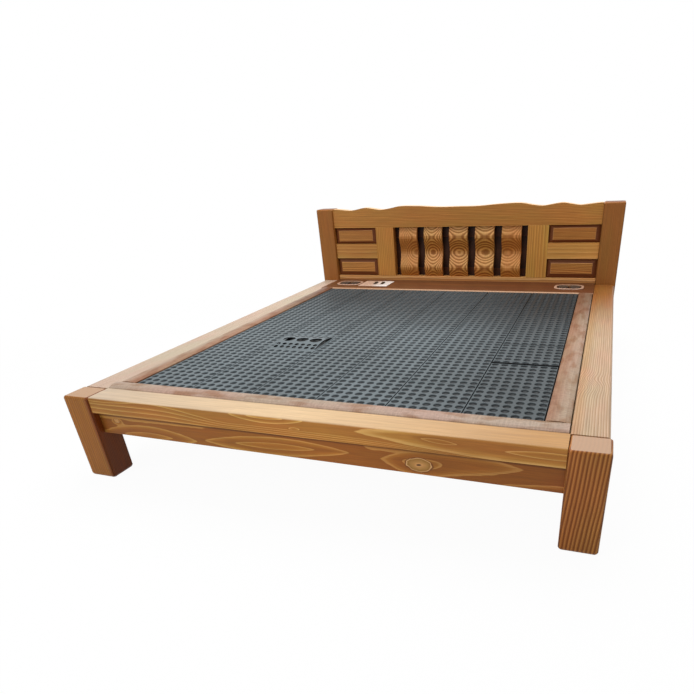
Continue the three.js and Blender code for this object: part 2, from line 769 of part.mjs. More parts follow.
// Switch plate: a bevelled plate with two wells below it, each holding a rocker on a pin.
function buildSwitchPlate() {
  const bottom = deckTop + fit;
  const top = bottom + plateThickness;
  const pinZ = top - rockerPinDepth;
  const wellBottom = top - wellDepth;
  const plate = block(
    [plateCentreX - plateWidth / 2, plateY - plateDepth / 2, bottom],
    [plateCentreX + plateWidth / 2, plateY + plateDepth / 2, top],
    plateEase,
  );
  const wellBody = block(
    [wellX - wellHoleWidth / 2 + fit, plateY - wellHoleLength / 2 + fit, wellBottom],
    [wellX + wellHoleWidth / 2 - fit, plateY + wellHoleLength / 2 - fit, top - plateThickness / 2],
  );
  let shell = join([plate, wellBody]);
  for (const { name, sign } of sides) {
    const x = wellX + sign * rockerSpacing / 2;
    const well = block(
      [x - rockerWidth / 2 - fit, plateY - rockerLength / 2 - rockerClearance, wellBottom + wellWall],
      [x + rockerWidth / 2 + fit, plateY + rockerLength / 2 + rockerClearance, top + overrun],
    );
    const bore = pinAlongX(pinRadius + fit, rockerWidth + 2 * (pinLength + fit)).translate(x, plateY, pinZ);
    shell = shell.subtract(toSolid(well)).subtract(toSolid(bore));
    const rocker = addPiece(`rocker_switch_${name}`, rockerShape(), 'rocker');
    rocker.position.set(x, plateY, pinZ);
    rocker.rotation.x = THREE.MathUtils.degToRad(rockerTilt);
  }
  addPiece('switch_plate', toGeometry(shell), 'plate');
}

// A rocker with a hollowed top on a pin, drawn level about the pin's axis.
function rockerShape() {
  const half = rockerLength / 2;
  const outline = polygon([
    [-half, -rockerBelowPin], [half, -rockerBelowPin], [half, rockerEndRise],
    [0, rockerMiddleRise], [-half, rockerEndRise],
  ]);
  const cap = pushAlongX(outline, -rockerWidth / 2, rockerWidth / 2);
  return toGeometry(join([cap, pinAlongX(pinRadius, rockerWidth + 2 * pinLength)]));
}

function pinAlongX(radius, length) {
  return new THREE.CylinderGeometry(radius, radius, length, holeSides).rotateZ(Math.PI / 2);
}

// Mains inlet: a socket on the back of the head rail, with a neck through the rail and the deck's rear wall.
function buildInlet() {
  const faceY = fieldBackY + fit;
  const endY = fieldY - fit - deckWall;
  const body = block(
    [inletX - inletWidth / 2, endY, inletZ - inletHeight / 2],
    [inletX + inletWidth / 2, faceY + inletWall / 2, inletZ + inletHeight / 2],
  );
  const mouthY = faceY + inletDepth;
  const housing = block(
    [inletX - inletWidth / 2 - inletFlange, faceY, inletZ - inletHeight / 2 - inletFlange],
    [inletX + inletWidth / 2 + inletFlange, mouthY, inletZ + inletHeight / 2 + inletFlange],
    plateEase,
  );
  const socket = block(
    [inletX - inletWidth / 2 + inletWall, mouthY - socketDepth, inletZ - inletHeight / 2 + inletWall],
    [inletX + inletWidth / 2 - inletWall, mouthY + overrun, inletZ + inletHeight / 2 - inletWall],
  );
  let inlet = join([body, housing]).subtract(toSolid(socket));
  for (let index = 0; index < bladeCount; index += 1) {
    const x = inletX + (index - (bladeCount - 1) / 2) * bladeSpacing;
    const blade = block(
      [x - bladeThickness / 2, mouthY - socketDepth - inletWall / 2, inletZ - bladeWidth / 2],
      [x + bladeThickness / 2, mouthY - bladeRecess, inletZ + bladeWidth / 2],
    );
    inlet = inlet.add(toSolid(blade));
  }
  addPiece('power_inlet', toGeometry(inlet), 'lead');
}

// Path of a lead: a smooth line in plan that drops to the bed's floor and rises again at its end.
class LaidPath extends THREE.Curve {
  constructor(plan, startZ, endZ) {
    super();
    this.plan = new THREE.CatmullRomCurve3(plan.map(([x, y]) => new THREE.Vector3(x, y, 0)));
    this.startZ = startZ;
    this.endZ = endZ;
  }

  getPoint(t, target = new THREE.Vector3()) {
    const { x, y } = this.plan.getPoint(t);
    const layZ = baseTop + fit + leadRadius;
    const drop = 1 - THREE.MathUtils.smoothstep(t, ...leadDropShares);
    const rise = THREE.MathUtils.smoothstep(t, ...leadRiseShares);
    return target.set(x, y, layZ + drop * (this.startZ - layZ) + rise * (this.endZ - layZ));
  }
}

function lead(plan, startZ, endZ, steps) {
  const section = new THREE.Shape();
  section.absarc(0, 0, leadRadius, 0, 2 * Math.PI, false);
  const extrudePath = new LaidPath(plan, startZ, endZ);
  return new THREE.ExtrudeGeometry(section, { steps, curveSegments: leadSides, extrudePath });
}

// Leads from the heating panels to the controllers, and from the inlet to the switch plate.
function buildLeads() {
  const wallEndY = matBackY + deckWall;
  const housingX = controllerOffset - bezelWidth / 2 + bezelMargin - fit;
  const housingZ = deckTop + bezelThickness - housingDepth + 2 * leadRadius;
  for (const { name, sign } of sides) {
    const plan = [
      [leadOffset, matBackY], [leadOffset, wallEndY], [leadOffset, wallEndY + leadBend],
      [leadOffset + leadBend, controllerY - leadBend],
      [housingX - 2 * leadBend, controllerY], [housingX - leadBend, controllerY], [housingX, controllerY],
    ].map(([x, y]) => [sign * x, y]);
    addPiece(`heater_lead_${name}`, lead(plan, leadStartZ, housingZ, heaterLeadSteps), 'lead');
  }
  const inletEndY = fieldY - 2 * fit - deckWall;
  const wellSideX = wellX + wellHoleWidth / 2;
  const wellZ = deckTop + plateThickness - wellDepth + 2 * leadRadius;
  const supplyPlan = [
    [inletX, inletEndY], [inletX, inletEndY - leadBend / 2], [inletX - leadBend, inletEndY - leadBend],
    [leadOffset, inletEndY - leadBend], [-leadOffset / 2, inletEndY - leadBend],
    [wellSideX + 2 * leadBend, plateY + leadBend / 2],
    [wellSideX + leadBend, plateY], [wellSideX, plateY],
  ];
  addPiece('supply_lead', lead(supplyPlan, inletZ, wellZ, supplyLeadSteps), 'lead');
}

buildPosts();
buildFootRail();
buildSideRails();
buildTopRail();
buildHeadFrame();
buildWaveSlats();
buildBackBoard();
buildBorders();
buildDeck();
buildMat();
buildFloor();
for (const { name, sign } of sides) buildController(name, sign);
buildSwitchPlate();
buildInlet();
buildLeads();

export default bed;
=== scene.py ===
import math

import bpy
from mathutils import Matrix, Quaternion, Vector


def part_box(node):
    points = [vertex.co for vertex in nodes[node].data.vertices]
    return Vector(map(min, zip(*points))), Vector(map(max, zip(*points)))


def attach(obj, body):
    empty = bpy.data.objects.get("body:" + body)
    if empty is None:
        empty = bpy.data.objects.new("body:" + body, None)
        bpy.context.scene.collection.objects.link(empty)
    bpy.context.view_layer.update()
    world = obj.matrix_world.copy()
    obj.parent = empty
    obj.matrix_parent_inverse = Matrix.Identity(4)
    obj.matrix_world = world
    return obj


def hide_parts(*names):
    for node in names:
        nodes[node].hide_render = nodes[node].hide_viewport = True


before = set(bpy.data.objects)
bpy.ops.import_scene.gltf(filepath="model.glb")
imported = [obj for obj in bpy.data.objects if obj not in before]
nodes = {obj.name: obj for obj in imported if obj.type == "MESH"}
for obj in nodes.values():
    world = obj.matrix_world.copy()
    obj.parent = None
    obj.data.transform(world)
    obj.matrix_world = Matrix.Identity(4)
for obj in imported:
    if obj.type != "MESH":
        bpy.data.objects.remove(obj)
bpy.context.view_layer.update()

# Camera, solved from the corners of posts, rails and mat
PICTURE = 694
CAMERA_PLACE = (0.854868, -2.385139, 1.009738)
CAMERA_TURN = (2.0616505, 0.3085958, -0.2474912)
FOCAL_PIXELS = 532.86946
PRINCIPAL = (409.7203, 456.84047)
SENSOR = 36.0
FARTHEST = 60.0


def make_camera():
    data = bpy.data.cameras.new("camera")
    data.sensor_width = SENSOR
    data.lens = FOCAL_PIXELS / PICTURE * SENSOR
    data.shift_x = -(PRINCIPAL[0] - PICTURE / 2) / PICTURE
    data.shift_y = (PRINCIPAL[1] - PICTURE / 2) / PICTURE
    data.clip_end = FARTHEST
    camera = bpy.data.objects.new("camera", data)
    bpy.context.scene.collection.objects.link(camera)
    turn = Vector(CAMERA_TURN)
    to_picture = Quaternion(turn.normalized(), turn.length).to_matrix()
    rotation = to_picture.transposed() @ Matrix.Diagonal((1, -1, -1))
    camera.matrix_world = Matrix.Translation(CAMERA_PLACE) @ rotation.to_4x4()
    bpy.context.scene.camera = camera


def tone(red, green, blue):
    """A colour given as it looks on a screen, 0 to 255, in linear values."""
    linear = []
    for value in (red, green, blue):
        share = value / 255
        linear.append(share / 12.92 if share <= 0.04045 else ((share + 0.055) / 1.055) ** 2.4)
    return (*linear, 1.0)


WHITE = (1.0, 1.0, 1.0, 1.0)

# What most values of a noise lie between, and a narrower middle part of them
NOISE_RANGE = (0.3, 0.7)
NOISE_MIDDLE = (0.35, 0.65)


class Graph:
    """The node tree of a material or world, built by short calls that return sockets."""

    def __init__(self, owner):
        self.owner = owner
        owner.use_nodes = True
        self.tree = owner.node_tree
        self.tree.nodes.clear()

    def add(self, kind, **settings):
        node = self.tree.nodes.new(kind)
        for key, value in settings.items():
            setattr(node, key, value)
        return node

    def feed(self, socket, value):
        if isinstance(value, bpy.types.NodeSocket):
            self.tree.links.new(value, socket)
        else:
            socket.default_value = value

    def feed_all(self, node, values):
        for socket, value in zip(node.inputs, values):
            self.feed(socket, value)
        return node.outputs[0]

    def math(self, operation, *values):
        return self.feed_all(self.add("ShaderNodeMath", operation=operation), values)

    def total(self, *values):
        result = values[0]
        for value in values[1:]:
            result = self.math("ADD", result, value)
        return result

    def product(self, *values):
        result = values[0]
        for value in values[1:]:
            result = self.math("MULTIPLY", result, value)
        return result

    def length(self, u, v):
        return self.math("SQRT", self.total(self.product(u, u), self.product(v, v)))

    def scaled(self, value, factor, offset=0.0):
        return self.math("MULTIPLY_ADD", value, factor, offset)

    def swing(self, value, reach):
        """A noise from 0 to 1 as a swing about 0, half of reach to each side."""
        return self.scaled(value, reach, -reach / 2)

    def combine(self, *values):
        return self.feed_all(self.add("ShaderNodeCombineXYZ"), values)

    def split(self, vector):
        node = self.add("ShaderNodeSeparateXYZ")
        self.feed(node.inputs[0], vector)
        return node.outputs[:3]

    def point(self, axes, repeats, shifts=(0.0, 0.0, 0.0)):
        """Where a noise is read: each axis in repeats of the noise in a metre, and shifted."""
        return self.combine(*map(self.scaled, axes, repeats, shifts))

    def noise(self, vector, detail=2.0, roughness=0.5):
        node = self.add("ShaderNodeTexNoise")
        self.feed(node.inputs["Vector"], vector)
        node.inputs["Scale"].default_value = 1.0
        node.inputs["Detail"].default_value = detail
        node.inputs["Roughness"].default_value = roughness
        return node.outputs[0]

    def spread(self, value, low, high, new_low=0.0, new_high=1.0, smooth=True):
        """Takes a value from between low and high to between new_low and new_high, and no further."""
        kind = "SMOOTHSTEP" if smooth else "LINEAR"
        node = self.add("ShaderNodeMapRange", interpolation_type=kind, clamp=True)
        for key, item in (("Value", value), ("From Min", low), ("From Max", high),
                          ("To Min", new_low), ("To Max", new_high)):
            self.feed(node.inputs[key], item)
        return node.outputs[0]

    def ramp(self, factor, stops):
        node = self.add("ShaderNodeValToRGB")
        self.feed(node.inputs[0], factor)
        elements = node.color_ramp.elements
        elements[0].position, elements[0].color = stops[0]
        elements[1].position, elements[1].color = stops[-1]
        for position, colour in stops[1:-1]:
            elements.new(position).color = colour
        return node.outputs[0]

    def mix(self, factor, first, second, blend="MIX"):
        node = self.add("ShaderNodeMix", data_type="RGBA", blend_type=blend)
        self.feed(node.inputs["Factor"], factor)
        self.feed(node.inputs[6], first)
        self.feed(node.inputs[7], second)
        return node.outputs[2]

    def stain(self, factor, colour, shade):
        return self.mix(factor, colour, shade, blend="MULTIPLY")

    def dim(self, colour, level):
        return self.stain(1.0, colour, self.combine(level, level, level))

    def bump(self, height, distance, strength):
        node = self.add("ShaderNodeBump")
        node.inputs["Strength"].default_value = strength
        node.inputs["Distance"].default_value = distance
        self.feed(node.inputs["Height"], height)
        return node.outputs[0]

    def shader(self, kind, **sockets):
        node = self.add(kind)
        for key, value in sockets.items():
            self.feed(node.inputs[key.replace("_", " ")], value)
        return node.outputs[0]

    def blend_shaders(self, factor, first, second):
        return self.feed_all(self.add("ShaderNodeMixShader"), (factor, first, second))

    def output(self, kind, shader):
        self.feed(self.add(kind).inputs["Surface"], shader)
        return self.owner


class Surface(Graph):
    """A new material's graph, with each point's place in its object as x, y and z."""

    def __init__(self, name):
        super().__init__(bpy.data.materials.new(name))
        self.x, self.y, self.z = self.split(self.add("ShaderNodeTexCoord").outputs["Object"])

    def even_point(self, repeats):
        return self.point((self.x, self.y, self.z), (repeats, repeats, repeats))

    def hill(self, centre, reach, height, turn, edge, pointed):
        """A smooth hill over the plane of X and Z. It has fallen to edge at reach from its centre,
        with pointed ends or as an ellipse."""
        fall = math.log(height / edge)
        cos, sin = math.cos(turn), math.sin(turn)
        dx = self.math("SUBTRACT", self.x, centre[0])
        dz = self.math("SUBTRACT", self.z, centre[1])
        along = self.total(self.scaled(dx, cos / reach[0]), self.scaled(dz, sin / reach[0]))
        across = self.total(self.scaled(dx, -sin / reach[1]), self.scaled(dz, cos / reach[1]))
        far = self.product(along, along)
        wide = self.product(across, across)
        if pointed:
            blunt = 0.1
            wide = self.math("SQRT", self.total(wide, blunt ** 2))
            away = self.math("POWER", self.total(far, wide, -blunt), 1.5)
        else:
            away = self.total(far, wide)
        return self.scaled(self.math("EXPONENT", self.scaled(away, -fall)), height)

    def upward(self, low=0.55, high=0.92):
        """How far the surface faces up, from 0 to 1."""
        normal = self.split(self.add("ShaderNodeNewGeometry").outputs["Normal"])
        return self.spread(normal[2], low, high)

    def finish(self, colour, roughness, normal, **sockets):
        surface = self.shader("ShaderNodeBsdfPrincipled", Base_Color=colour, Roughness=roughness,
                              Normal=normal, **sockets)
        return self.output("ShaderNodeOutputMaterial", surface)


# Stained pine: the shade of one growth ring, from its outer edge inwards
GOLD = (tone(205, 152, 92), tone(184, 127, 66), tone(166, 108, 52), tone(142, 86, 38))
BROWN = (tone(196, 136, 82), tone(168, 108, 58), tone(148, 90, 44), tone(116, 66, 28))
RAIL = (tone(200, 152, 100), tone(176, 122, 64), tone(158, 102, 50), tone(150, 94, 46))
LEG = (tone(176, 120, 76), tone(164, 106, 60), tone(134, 80, 36), tone(114, 62, 22))
STRIPE = (tone(190, 130, 78), tone(176, 116, 66), tone(134, 78, 34), tone(112, 60, 22))
PALE = (tone(226, 186, 134), tone(210, 168, 116), tone(198, 154, 102), tone(172, 126, 76))
PINK = (tone(196, 152, 118), tone(176, 130, 98), tone(160, 116, 84), tone(134, 92, 64))
DECK = (tone(160, 100, 66), tone(142, 84, 54), tone(126, 72, 44), tone(104, 58, 36))
DARK = (tone(58, 42, 30), tone(46, 34, 24), tone(38, 28, 20), tone(28, 20, 15))
PLAIN = (tone(206, 178, 140), tone(196, 166, 128), tone(186, 156, 118), tone(166, 134, 96))

# Each profile names the tones that a ring passes through, and at what share of its width
PROFILES = {
    "saw": ((0.0, 3), (0.035, 0), (0.13, 1), (0.5, 2), (0.93, 3)),
    "stripe": ((0.0, 3), (0.18, 2), (0.38, 0), (0.62, 1), (0.92, 3)),
    "soft": ((0.0, 3), (0.03, 0), (0.08, 0), (0.2, 1), (0.5, 2), (1.0, 3)),
}

# The wood's finer figure: its repeats in a metre along the grain and across it
DRIFT = (2.2, 6.0)
RIPPLE = (14.0, 60.0)
FIBRE = (9.0, 620.0)
STREAK = (5.0, 150.0)
CLOUD = (3.0, 9.0)
CLOUD_SHIFT = 9

# How often the rings' width changes, in a ring, and how far the ripple moves them, in rings
UNEVEN_REPEATS = 0.37
RIPPLE_REACH = 0.16

# What fibres, streaks and clouds do to the shade
FIBRE_LEVELS = (-0.11, 0.09)
STREAK_LEVELS = (-0.08, 0.06)
CLOUD_TONES = (tone(255, 240, 222), tone(240, 255, 228))
CLOUD_COVER = 0.5

# Between which X the painted light on a face that looks up runs, and how far it covers it
TOP_LIGHT_REACH = (-0.8, 0.75)
TOP_LIGHT_COVER = 0.93

# The relief of rings and fibres, and the gloss, which follows the fibres
RING_RELIEF = -0.5
FIBRE_RELIEF = 0.7
RELIEF_HEIGHT = 0.0005
RELIEF_STRENGTH = 0.5
WOOD_ROUGHNESS = (0.25, 0.75, 0.41, 0.54)
WOOD_SPECULAR = 0.22


def wood(name, grain, tones, pith=None, spacing=None, field=None, profile="saw", contrast=1.0,
         tint=(1.0, 1.0, 1.0), warp=0.004, uneven=0.8, lean=(0.0, 0.0), bend=None, fleck=1.0,
         top=None, over=None, seed=0.0):
    """Sawn wood in the round: rings about a pith that runs along grain, cut by every face of the piece.
    pith is the ring centre on the other two axes, lean how it drifts along the grain and bend how the
    grain swings aside; field gives the rings instead. top holds the paler shades of faces that look up,
    from left to right, as painted light and sheen, and over colours the wood further."""
    graph = Surface(name)
    tones = [tuple(value * factor for value, factor in zip(shade, (*tint, 1.0))) for shade in tones]
    x, y, z = graph.x, graph.y, graph.z
    along, u, v = {"x": (x, y, z), "y": (y, x, z), "z": (z, x, y)}[grain]

    def figure(repeats, shifts, **settings):
        lengthwise, crosswise = repeats
        place = graph.point((along, u, v), (lengthwise, crosswise, crosswise), shifts)
        return graph.noise(place, **settings)

    drift = figure(DRIFT, (seed, seed, 0.0), detail=1.0)
    if field is None:
        du = graph.total(graph.scaled(along, -lean[0], -pith[0]), u, graph.swing(drift, warp))
        if bend is not None:
            du = graph.total(du, bend(graph))
        dv = graph.total(graph.scaled(along, -lean[1], -pith[1]), v, graph.swing(drift, -warp))
        rings = graph.math("DIVIDE", graph.length(du, dv), spacing)
        wave = graph.noise(graph.combine(graph.scaled(rings, UNEVEN_REPEATS, seed)), detail=0.0)
        rings = graph.total(rings, graph.scaled(wave, uneven))
    else:
        rings = field(graph, drift)
    ripple = figure(RIPPLE, (seed, 0.0, seed))
    share = graph.math("FRACT", graph.total(rings, graph.swing(ripple, RIPPLE_REACH)))
    colour = graph.ramp(share, [(place, tones[index]) for place, index in PROFILES[profile]])
    if contrast < 1.0:
        colour = graph.mix(contrast, tones[2], colour)

    fibre = figure(FIBRE, (seed, 0.0, 0.0), detail=3.0, roughness=0.6)
    streak = figure(STREAK, (seed, 0.0, 0.0))
    level = graph.total(graph.spread(fibre, *NOISE_RANGE, *(fleck * value for value in FIBRE_LEVELS)), 1.0,
                        graph.spread(streak, *NOISE_RANGE, *(fleck * value for value in STREAK_LEVELS)))
    colour = graph.dim(colour, level)
    cloud = figure(CLOUD, (seed + CLOUD_SHIFT, 0.0, 0.0))
    colour = graph.stain(CLOUD_COVER, colour, graph.mix(graph.spread(cloud, *NOISE_MIDDLE), *CLOUD_TONES))
    # Faces that look up get painted light and sheen: paler shades from left to right
    if top is not None:
        stops = [(index / (len(top) - 1), shade) for index, shade in enumerate(top)]
        pale = graph.ramp(graph.spread(graph.x, *TOP_LIGHT_REACH, smooth=False), stops)
        colour = graph.mix(graph.scaled(graph.upward(), TOP_LIGHT_COVER), colour, graph.dim(pale, level))
    if over is not None:
        colour = over(graph, colour)

    relief = graph.total(graph.scaled(share, RING_RELIEF), graph.scaled(fibre, FIBRE_RELIEF))
    normal = graph.bump(relief, RELIEF_HEIGHT, RELIEF_STRENGTH)
    roughness = graph.spread(fibre, *WOOD_ROUGHNESS)
    return graph.finish(colour, roughness, normal, Specular_IOR_Level=WOOD_SPECULAR)


# Points as close as this are joined, and edges sharper than this are softened
WELD_REACH = 0.00002
SHARP_ANGLE = math.radians(35)


def dress(node, material, bevel, segments=2):
    """Gives a CAD node its material and softens its arrises inside its own bounds."""
    piece = nodes[node]
    piece.data.materials.clear()
    piece.data.materials.append(material)
    weld = piece.modifiers.new("weld", "WELD")
    weld.merge_threshold = WELD_REACH
    if bevel:
        edge = piece.modifiers.new("edge", "BEVEL")
        edge.width = bevel
        edge.segments = segments
        edge.limit_method = "ANGLE"
        edge.angle_limit = SHARP_ANGLE
        edge.harden_normals = True


# The foot rail's lower board lies back from its upper one below this height
RAIL_STEP = 0.273
STEP_EDGE = RAIL_STEP - 0.0004
STEP_FADE = (RAIL_STEP - 0.0006, RAIL_STEP - 0.0003, 1.0, 0.0)

# Calm wood lies at this share of a ring, and a bundle of this many lines rises from it
RAIL_CALM = 0.70
RAIL_LINES = 4.0

# Where the knots lie, in metres over X and Z
BIG_KNOT = (0.405, 0.218)
SMALL_KNOT = (-0.748, 0.240)

# Grain figure of the foot rail's two front faces, in metres over X and Z: centre, reach, height,
# turn and whether its ends are pointed. The first few lie side by side, the rest on top of them
UPPER_TONGUES = (
    ((-0.099, 0.329), (0.136, 0.018), 1.60, 0.0, True),
    ((0.623, 0.313), (0.415, 0.0395), 0.80, -0.01, True),
    ((-0.781, 0.326), (0.109, 0.008), 0.80, 0.0, True),
    ((0.004, 0.300), (0.020, 0.006), 0.90, 0.0, False),
    ((0.4705, 0.3126), (0.067, 0.0094), 1.30, -0.066, True),
    ((0.8006, 0.3037), (0.168, 0.0153), 1.30, 0.0, True),
)
LOWER_TONGUES = (
    ((-0.620, 0.194), (0.212, 0.037), 1.65, 0.02, True),
    ((-0.096, 0.218), (0.276, 0.031), 1.75, 0.041, True),
    ((0.500, 0.234), (0.212, 0.034), 0.95, 0.05, True),
    ((0.800, 0.186), (0.200, 0.018), 0.80, 0.05, True),
    (SMALL_KNOT, (0.022, 0.012), 0.80, 0.0, False),
    (BIG_KNOT, (0.086, 0.033), 1.25, 0.0, False),
)
SIDE_BY_SIDE = 4

# The foot rail's lines: between two places along X, or two heights, a value goes to another
LINES_TOP = (-0.56, -0.22, 0.341, 0.298)
LINES_TOP_RIGHT = (0.15, 0.65, 0.0, -0.024)
LINES_LOW = (0.2, 0.65, 0.270, 0.260)
LOW_LINE_LEFT = (-0.45, -0.15, 1.0, 0.0)
LOW_LINE_RIGHT = ((0.18, 0.26, 0.0, 1.0), (0.45, 0.6, 1.0, 0.0))
LOW_LINE_RISE = (0.222, 0.264, 0.0, 0.48)

# How far the drift moves the lines, in metres, and all rings, in rings, and how many rings to the
# metre lie inwards from the front faces, which end this deep
LINE_SWING = 0.012
RING_SWING = 0.12
RINGS_INWARD = 26.0
FACE_DEPTH = 0.04

# The two boards' shades from left to right, and the shade that the upper one casts
BOARD_REACH = (-0.85, 0.85)
UPPER_SHADES = ((0.0, tone(213, 213, 206)), (0.6, tone(255, 255, 255)), (0.79, tone(224, 216, 221)),
                (1.0, tone(240, 233, 243)))
LOWER_SHADES = ((0.0, tone(178, 160, 134)), (0.12, tone(204, 193, 170)), (0.5, tone(223, 209, 189)),
                (1.0, tone(196, 171, 165)))
SHADOW_TILT = (-0.7, 0.7, 0.0, -0.005)
SHADOW_FADE = (RAIL_STEP - 0.021, RAIL_STEP - 0.014)
SHADOW_END = (RAIL_STEP - 0.0003, RAIL_STEP, 1.0, 0.0)
SHADOW_COVER = 0.75
SHADOW_TONE = tone(92, 52, 22)

# The knots' half sizes, and their shades from the heart to the rim
KNOTS = ((BIG_KNOT, (0.043, 0.0235)), (SMALL_KNOT, (0.012, 0.009)))
KNOT_SHADES = (
    (0.0, tone(110, 88, 66)), (0.08, tone(96, 70, 50)), (0.14, tone(50, 24, 12)),
    (0.2, tone(206, 150, 92)), (0.32, tone(192, 138, 78)), (0.62, tone(168, 122, 62)),
    (0.86, tone(150, 104, 48)), (0.93, tone(226, 176, 116)), (1.0, tone(110, 62, 26)),
)
KNOT_RIM = (1.0, 1.12, 1.0, 0.0)
KNOT_REPEATS = 60.0
KNOT_SWING = 0.3
KNOT_FRONT = (-1.06, -1.05, 1.0, 0.0)


def tongue_rings(graph, tongues):
    """The rings that tongues and lenses add: the first ones lie side by side, the rest on top of them."""
    rings = 0.0
    for index, (centre, reach, height, turn, pointed) in enumerate(tongues):
        hill = graph.hill(centre, reach, height, turn, 1 - RAIL_CALM, pointed)
        if index < SIDE_BY_SIDE:
            rings = graph.math("MAXIMUM", hill, rings)
        else:
            rings = graph.total(rings, hill)
    return rings


def rail_field(graph, drift):
    """Rings on the foot rail: close lines and tongues on its upper board, lenses on its lower one."""
    height = graph.total(graph.z, graph.swing(drift, LINE_SWING))
    top = graph.total(graph.spread(graph.x, *LINES_TOP), graph.spread(graph.x, *LINES_TOP_RIGHT))
    low = graph.spread(graph.x, *LINES_LOW)
    lines = graph.spread(height, low, top, 0.0, RAIL_LINES, smooth=False)
    upper = graph.total(lines, tongue_rings(graph, UPPER_TONGUES))
    right = graph.product(*(graph.spread(graph.x, *fade) for fade in LOW_LINE_RIGHT))
    line = graph.total(graph.spread(graph.x, *LOW_LINE_LEFT), right)
    line = graph.product(line, graph.spread(height, *LOW_LINE_RISE))
    lower = graph.math("MAXIMUM", line, tongue_rings(graph, LOWER_TONGUES))
    board = graph.math("GREATER_THAN", graph.z, STEP_EDGE)
    face = graph.total(graph.product(upper, board),
                       graph.product(lower, graph.math("SUBTRACT", 1.0, board)))
    face_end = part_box("foot_rail")[0].y + FACE_DEPTH
    inward = graph.math("MAXIMUM", graph.scaled(graph.y, RINGS_INWARD, -RINGS_INWARD * face_end), 0.0)
    return graph.total(face, RAIL_CALM, graph.swing(drift, RING_SWING), inward)


def foot_rail_faces(graph, colour):
    """The foot rail's boards get lighter and darker from left to right, and the upper one shades the
    lower one, which has a tan knot with a dark heart and a small knot by the left leg."""
    share = graph.spread(graph.x, *BOARD_REACH, smooth=False)
    board = graph.mix(graph.spread(graph.z, *STEP_FADE), graph.ramp(share, UPPER_SHADES),
                      graph.ramp(share, LOWER_SHADES))
    colour = graph.stain(graph.scaled(graph.upward(), -1.0, 1.0), colour, board)
    height = graph.total(graph.z, graph.spread(graph.x, *SHADOW_TILT))
    shadow = graph.product(graph.spread(height, *SHADOW_FADE), graph.spread(graph.z, *SHADOW_END))
    colour = graph.mix(graph.scaled(shadow, SHADOW_COVER), colour, SHADOW_TONE)
    front = graph.spread(graph.y, *KNOT_FRONT)
    rough = graph.noise(graph.combine(graph.scaled(graph.x, KNOT_REPEATS), 0.0,
                                      graph.scaled(graph.z, KNOT_REPEATS)), detail=1.0)
    for centre, size in KNOTS:
        dx = graph.scaled(graph.x, 1 / size[0], -centre[0] / size[0])
        dz = graph.scaled(graph.z, 1 / size[1], -centre[1] / size[1])
        away = graph.total(graph.length(dx, dz), graph.swing(rough, KNOT_SWING))
        inside = graph.product(graph.spread(away, *KNOT_RIM), front)
        colour = graph.mix(inside, colour, graph.ramp(away, KNOT_SHADES))
    return colour


# A raised panel's slope, with painted shade over a darker stain, and its pale rim, a painted highlight
# with wear, by their depth behind its field
PANEL_SLOPE = (0.0008, 0.0022)
PANEL_RIM = ((0.0001, 0.0006, 0.0, 1.0), (0.0012, 0.002, 1.0, 0.0))
PANEL_RIM_COVER = 0.6
PANEL_RIM_HIGHLIGHT = tone(206, 150, 96)
PANEL_SLOPE_COVER = 0.86
PANEL_SLOPE_SHADE = tone(104, 54, 32)
PANEL_TINTS = {
    "panel_upper_left": (1.43, 1.50, 1.33),
    "panel_lower_left": (1.61, 1.97, 1.83),
    "panel_upper_right": (1.44, 1.44, 1.20),
    "panel_lower_right": (1.47, 1.63, 1.46),
}


def panel_groove(node):
    """Colours a raised panel's slopes and flat margin darker than its field, as painted shade over a
    darker stain, with a painted highlight and wear on the rim round the field.
    """
    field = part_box(node)[0].y

    def over(graph, colour):
        def deeper(low, high, *levels):
            return graph.spread(graph.y, field + low, field + high, *levels)

        # Painted highlight with wear on the rim round the field
        rim = graph.product(*(deeper(*fade) for fade in PANEL_RIM))
        colour = graph.mix(graph.scaled(rim, PANEL_RIM_COVER), colour, PANEL_RIM_HIGHLIGHT)
        # Painted shade over a darker stain on the slopes and margin
        dark = graph.mix(PANEL_SLOPE_COVER, colour, PANEL_SLOPE_SHADE)
        return graph.mix(deeper(*PANEL_SLOPE), colour, dark)

    return over


# End grain begins just below a post's top, and the painted shade on the left leg's inner face just behind
# its arris
END_FADE = (-0.0006, -0.0002)
END_COVER = 0.9
INNER_SHADE_FADE = (-0.02, -0.002)
INNER_SHADE_COVER = 0.9
INNER_SHADE_TONE = tone(192, 143, 96)


def end_grain(top_z, shade):
    """Colours a post's sawn top as end grain."""
    def over(graph, colour):
        top = graph.spread(graph.z, *(top_z + depth for depth in END_FADE))
        return graph.mix(graph.scaled(top, END_COVER), colour, shade)

    return over


def left_leg_faces(top_z):
    """The left leg's sawn top, and its inner face, made darker and redder by painted shade."""
    lighten = end_grain(top_z, tone(181, 146, 116))
    inner_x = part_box("leg_front_left")[1].x

    def over(graph, colour):
        # Painted shade on the leg's inner face
        inner = graph.spread(graph.x, *(inner_x + depth for depth in INNER_SHADE_FADE))
        return lighten(graph, graph.stain(graph.scaled(inner, INNER_SHADE_COVER), colour, INNER_SHADE_TONE))

    return over


# The painted highlight on the deck's front edge, which the borders shade at its ends, and the deck's
# darker right half
NOSE_FADE = (0.012, 0.016)
NOSE_END = 0.006
NOSE_COVER = (0.66, 0.15)
NOSE_HIGHLIGHT_TONE = tone(206, 164, 130)
DECK_RIGHT = (-0.3, 0.5)
DECK_RIGHT_TONE = tone(236, 222, 210)


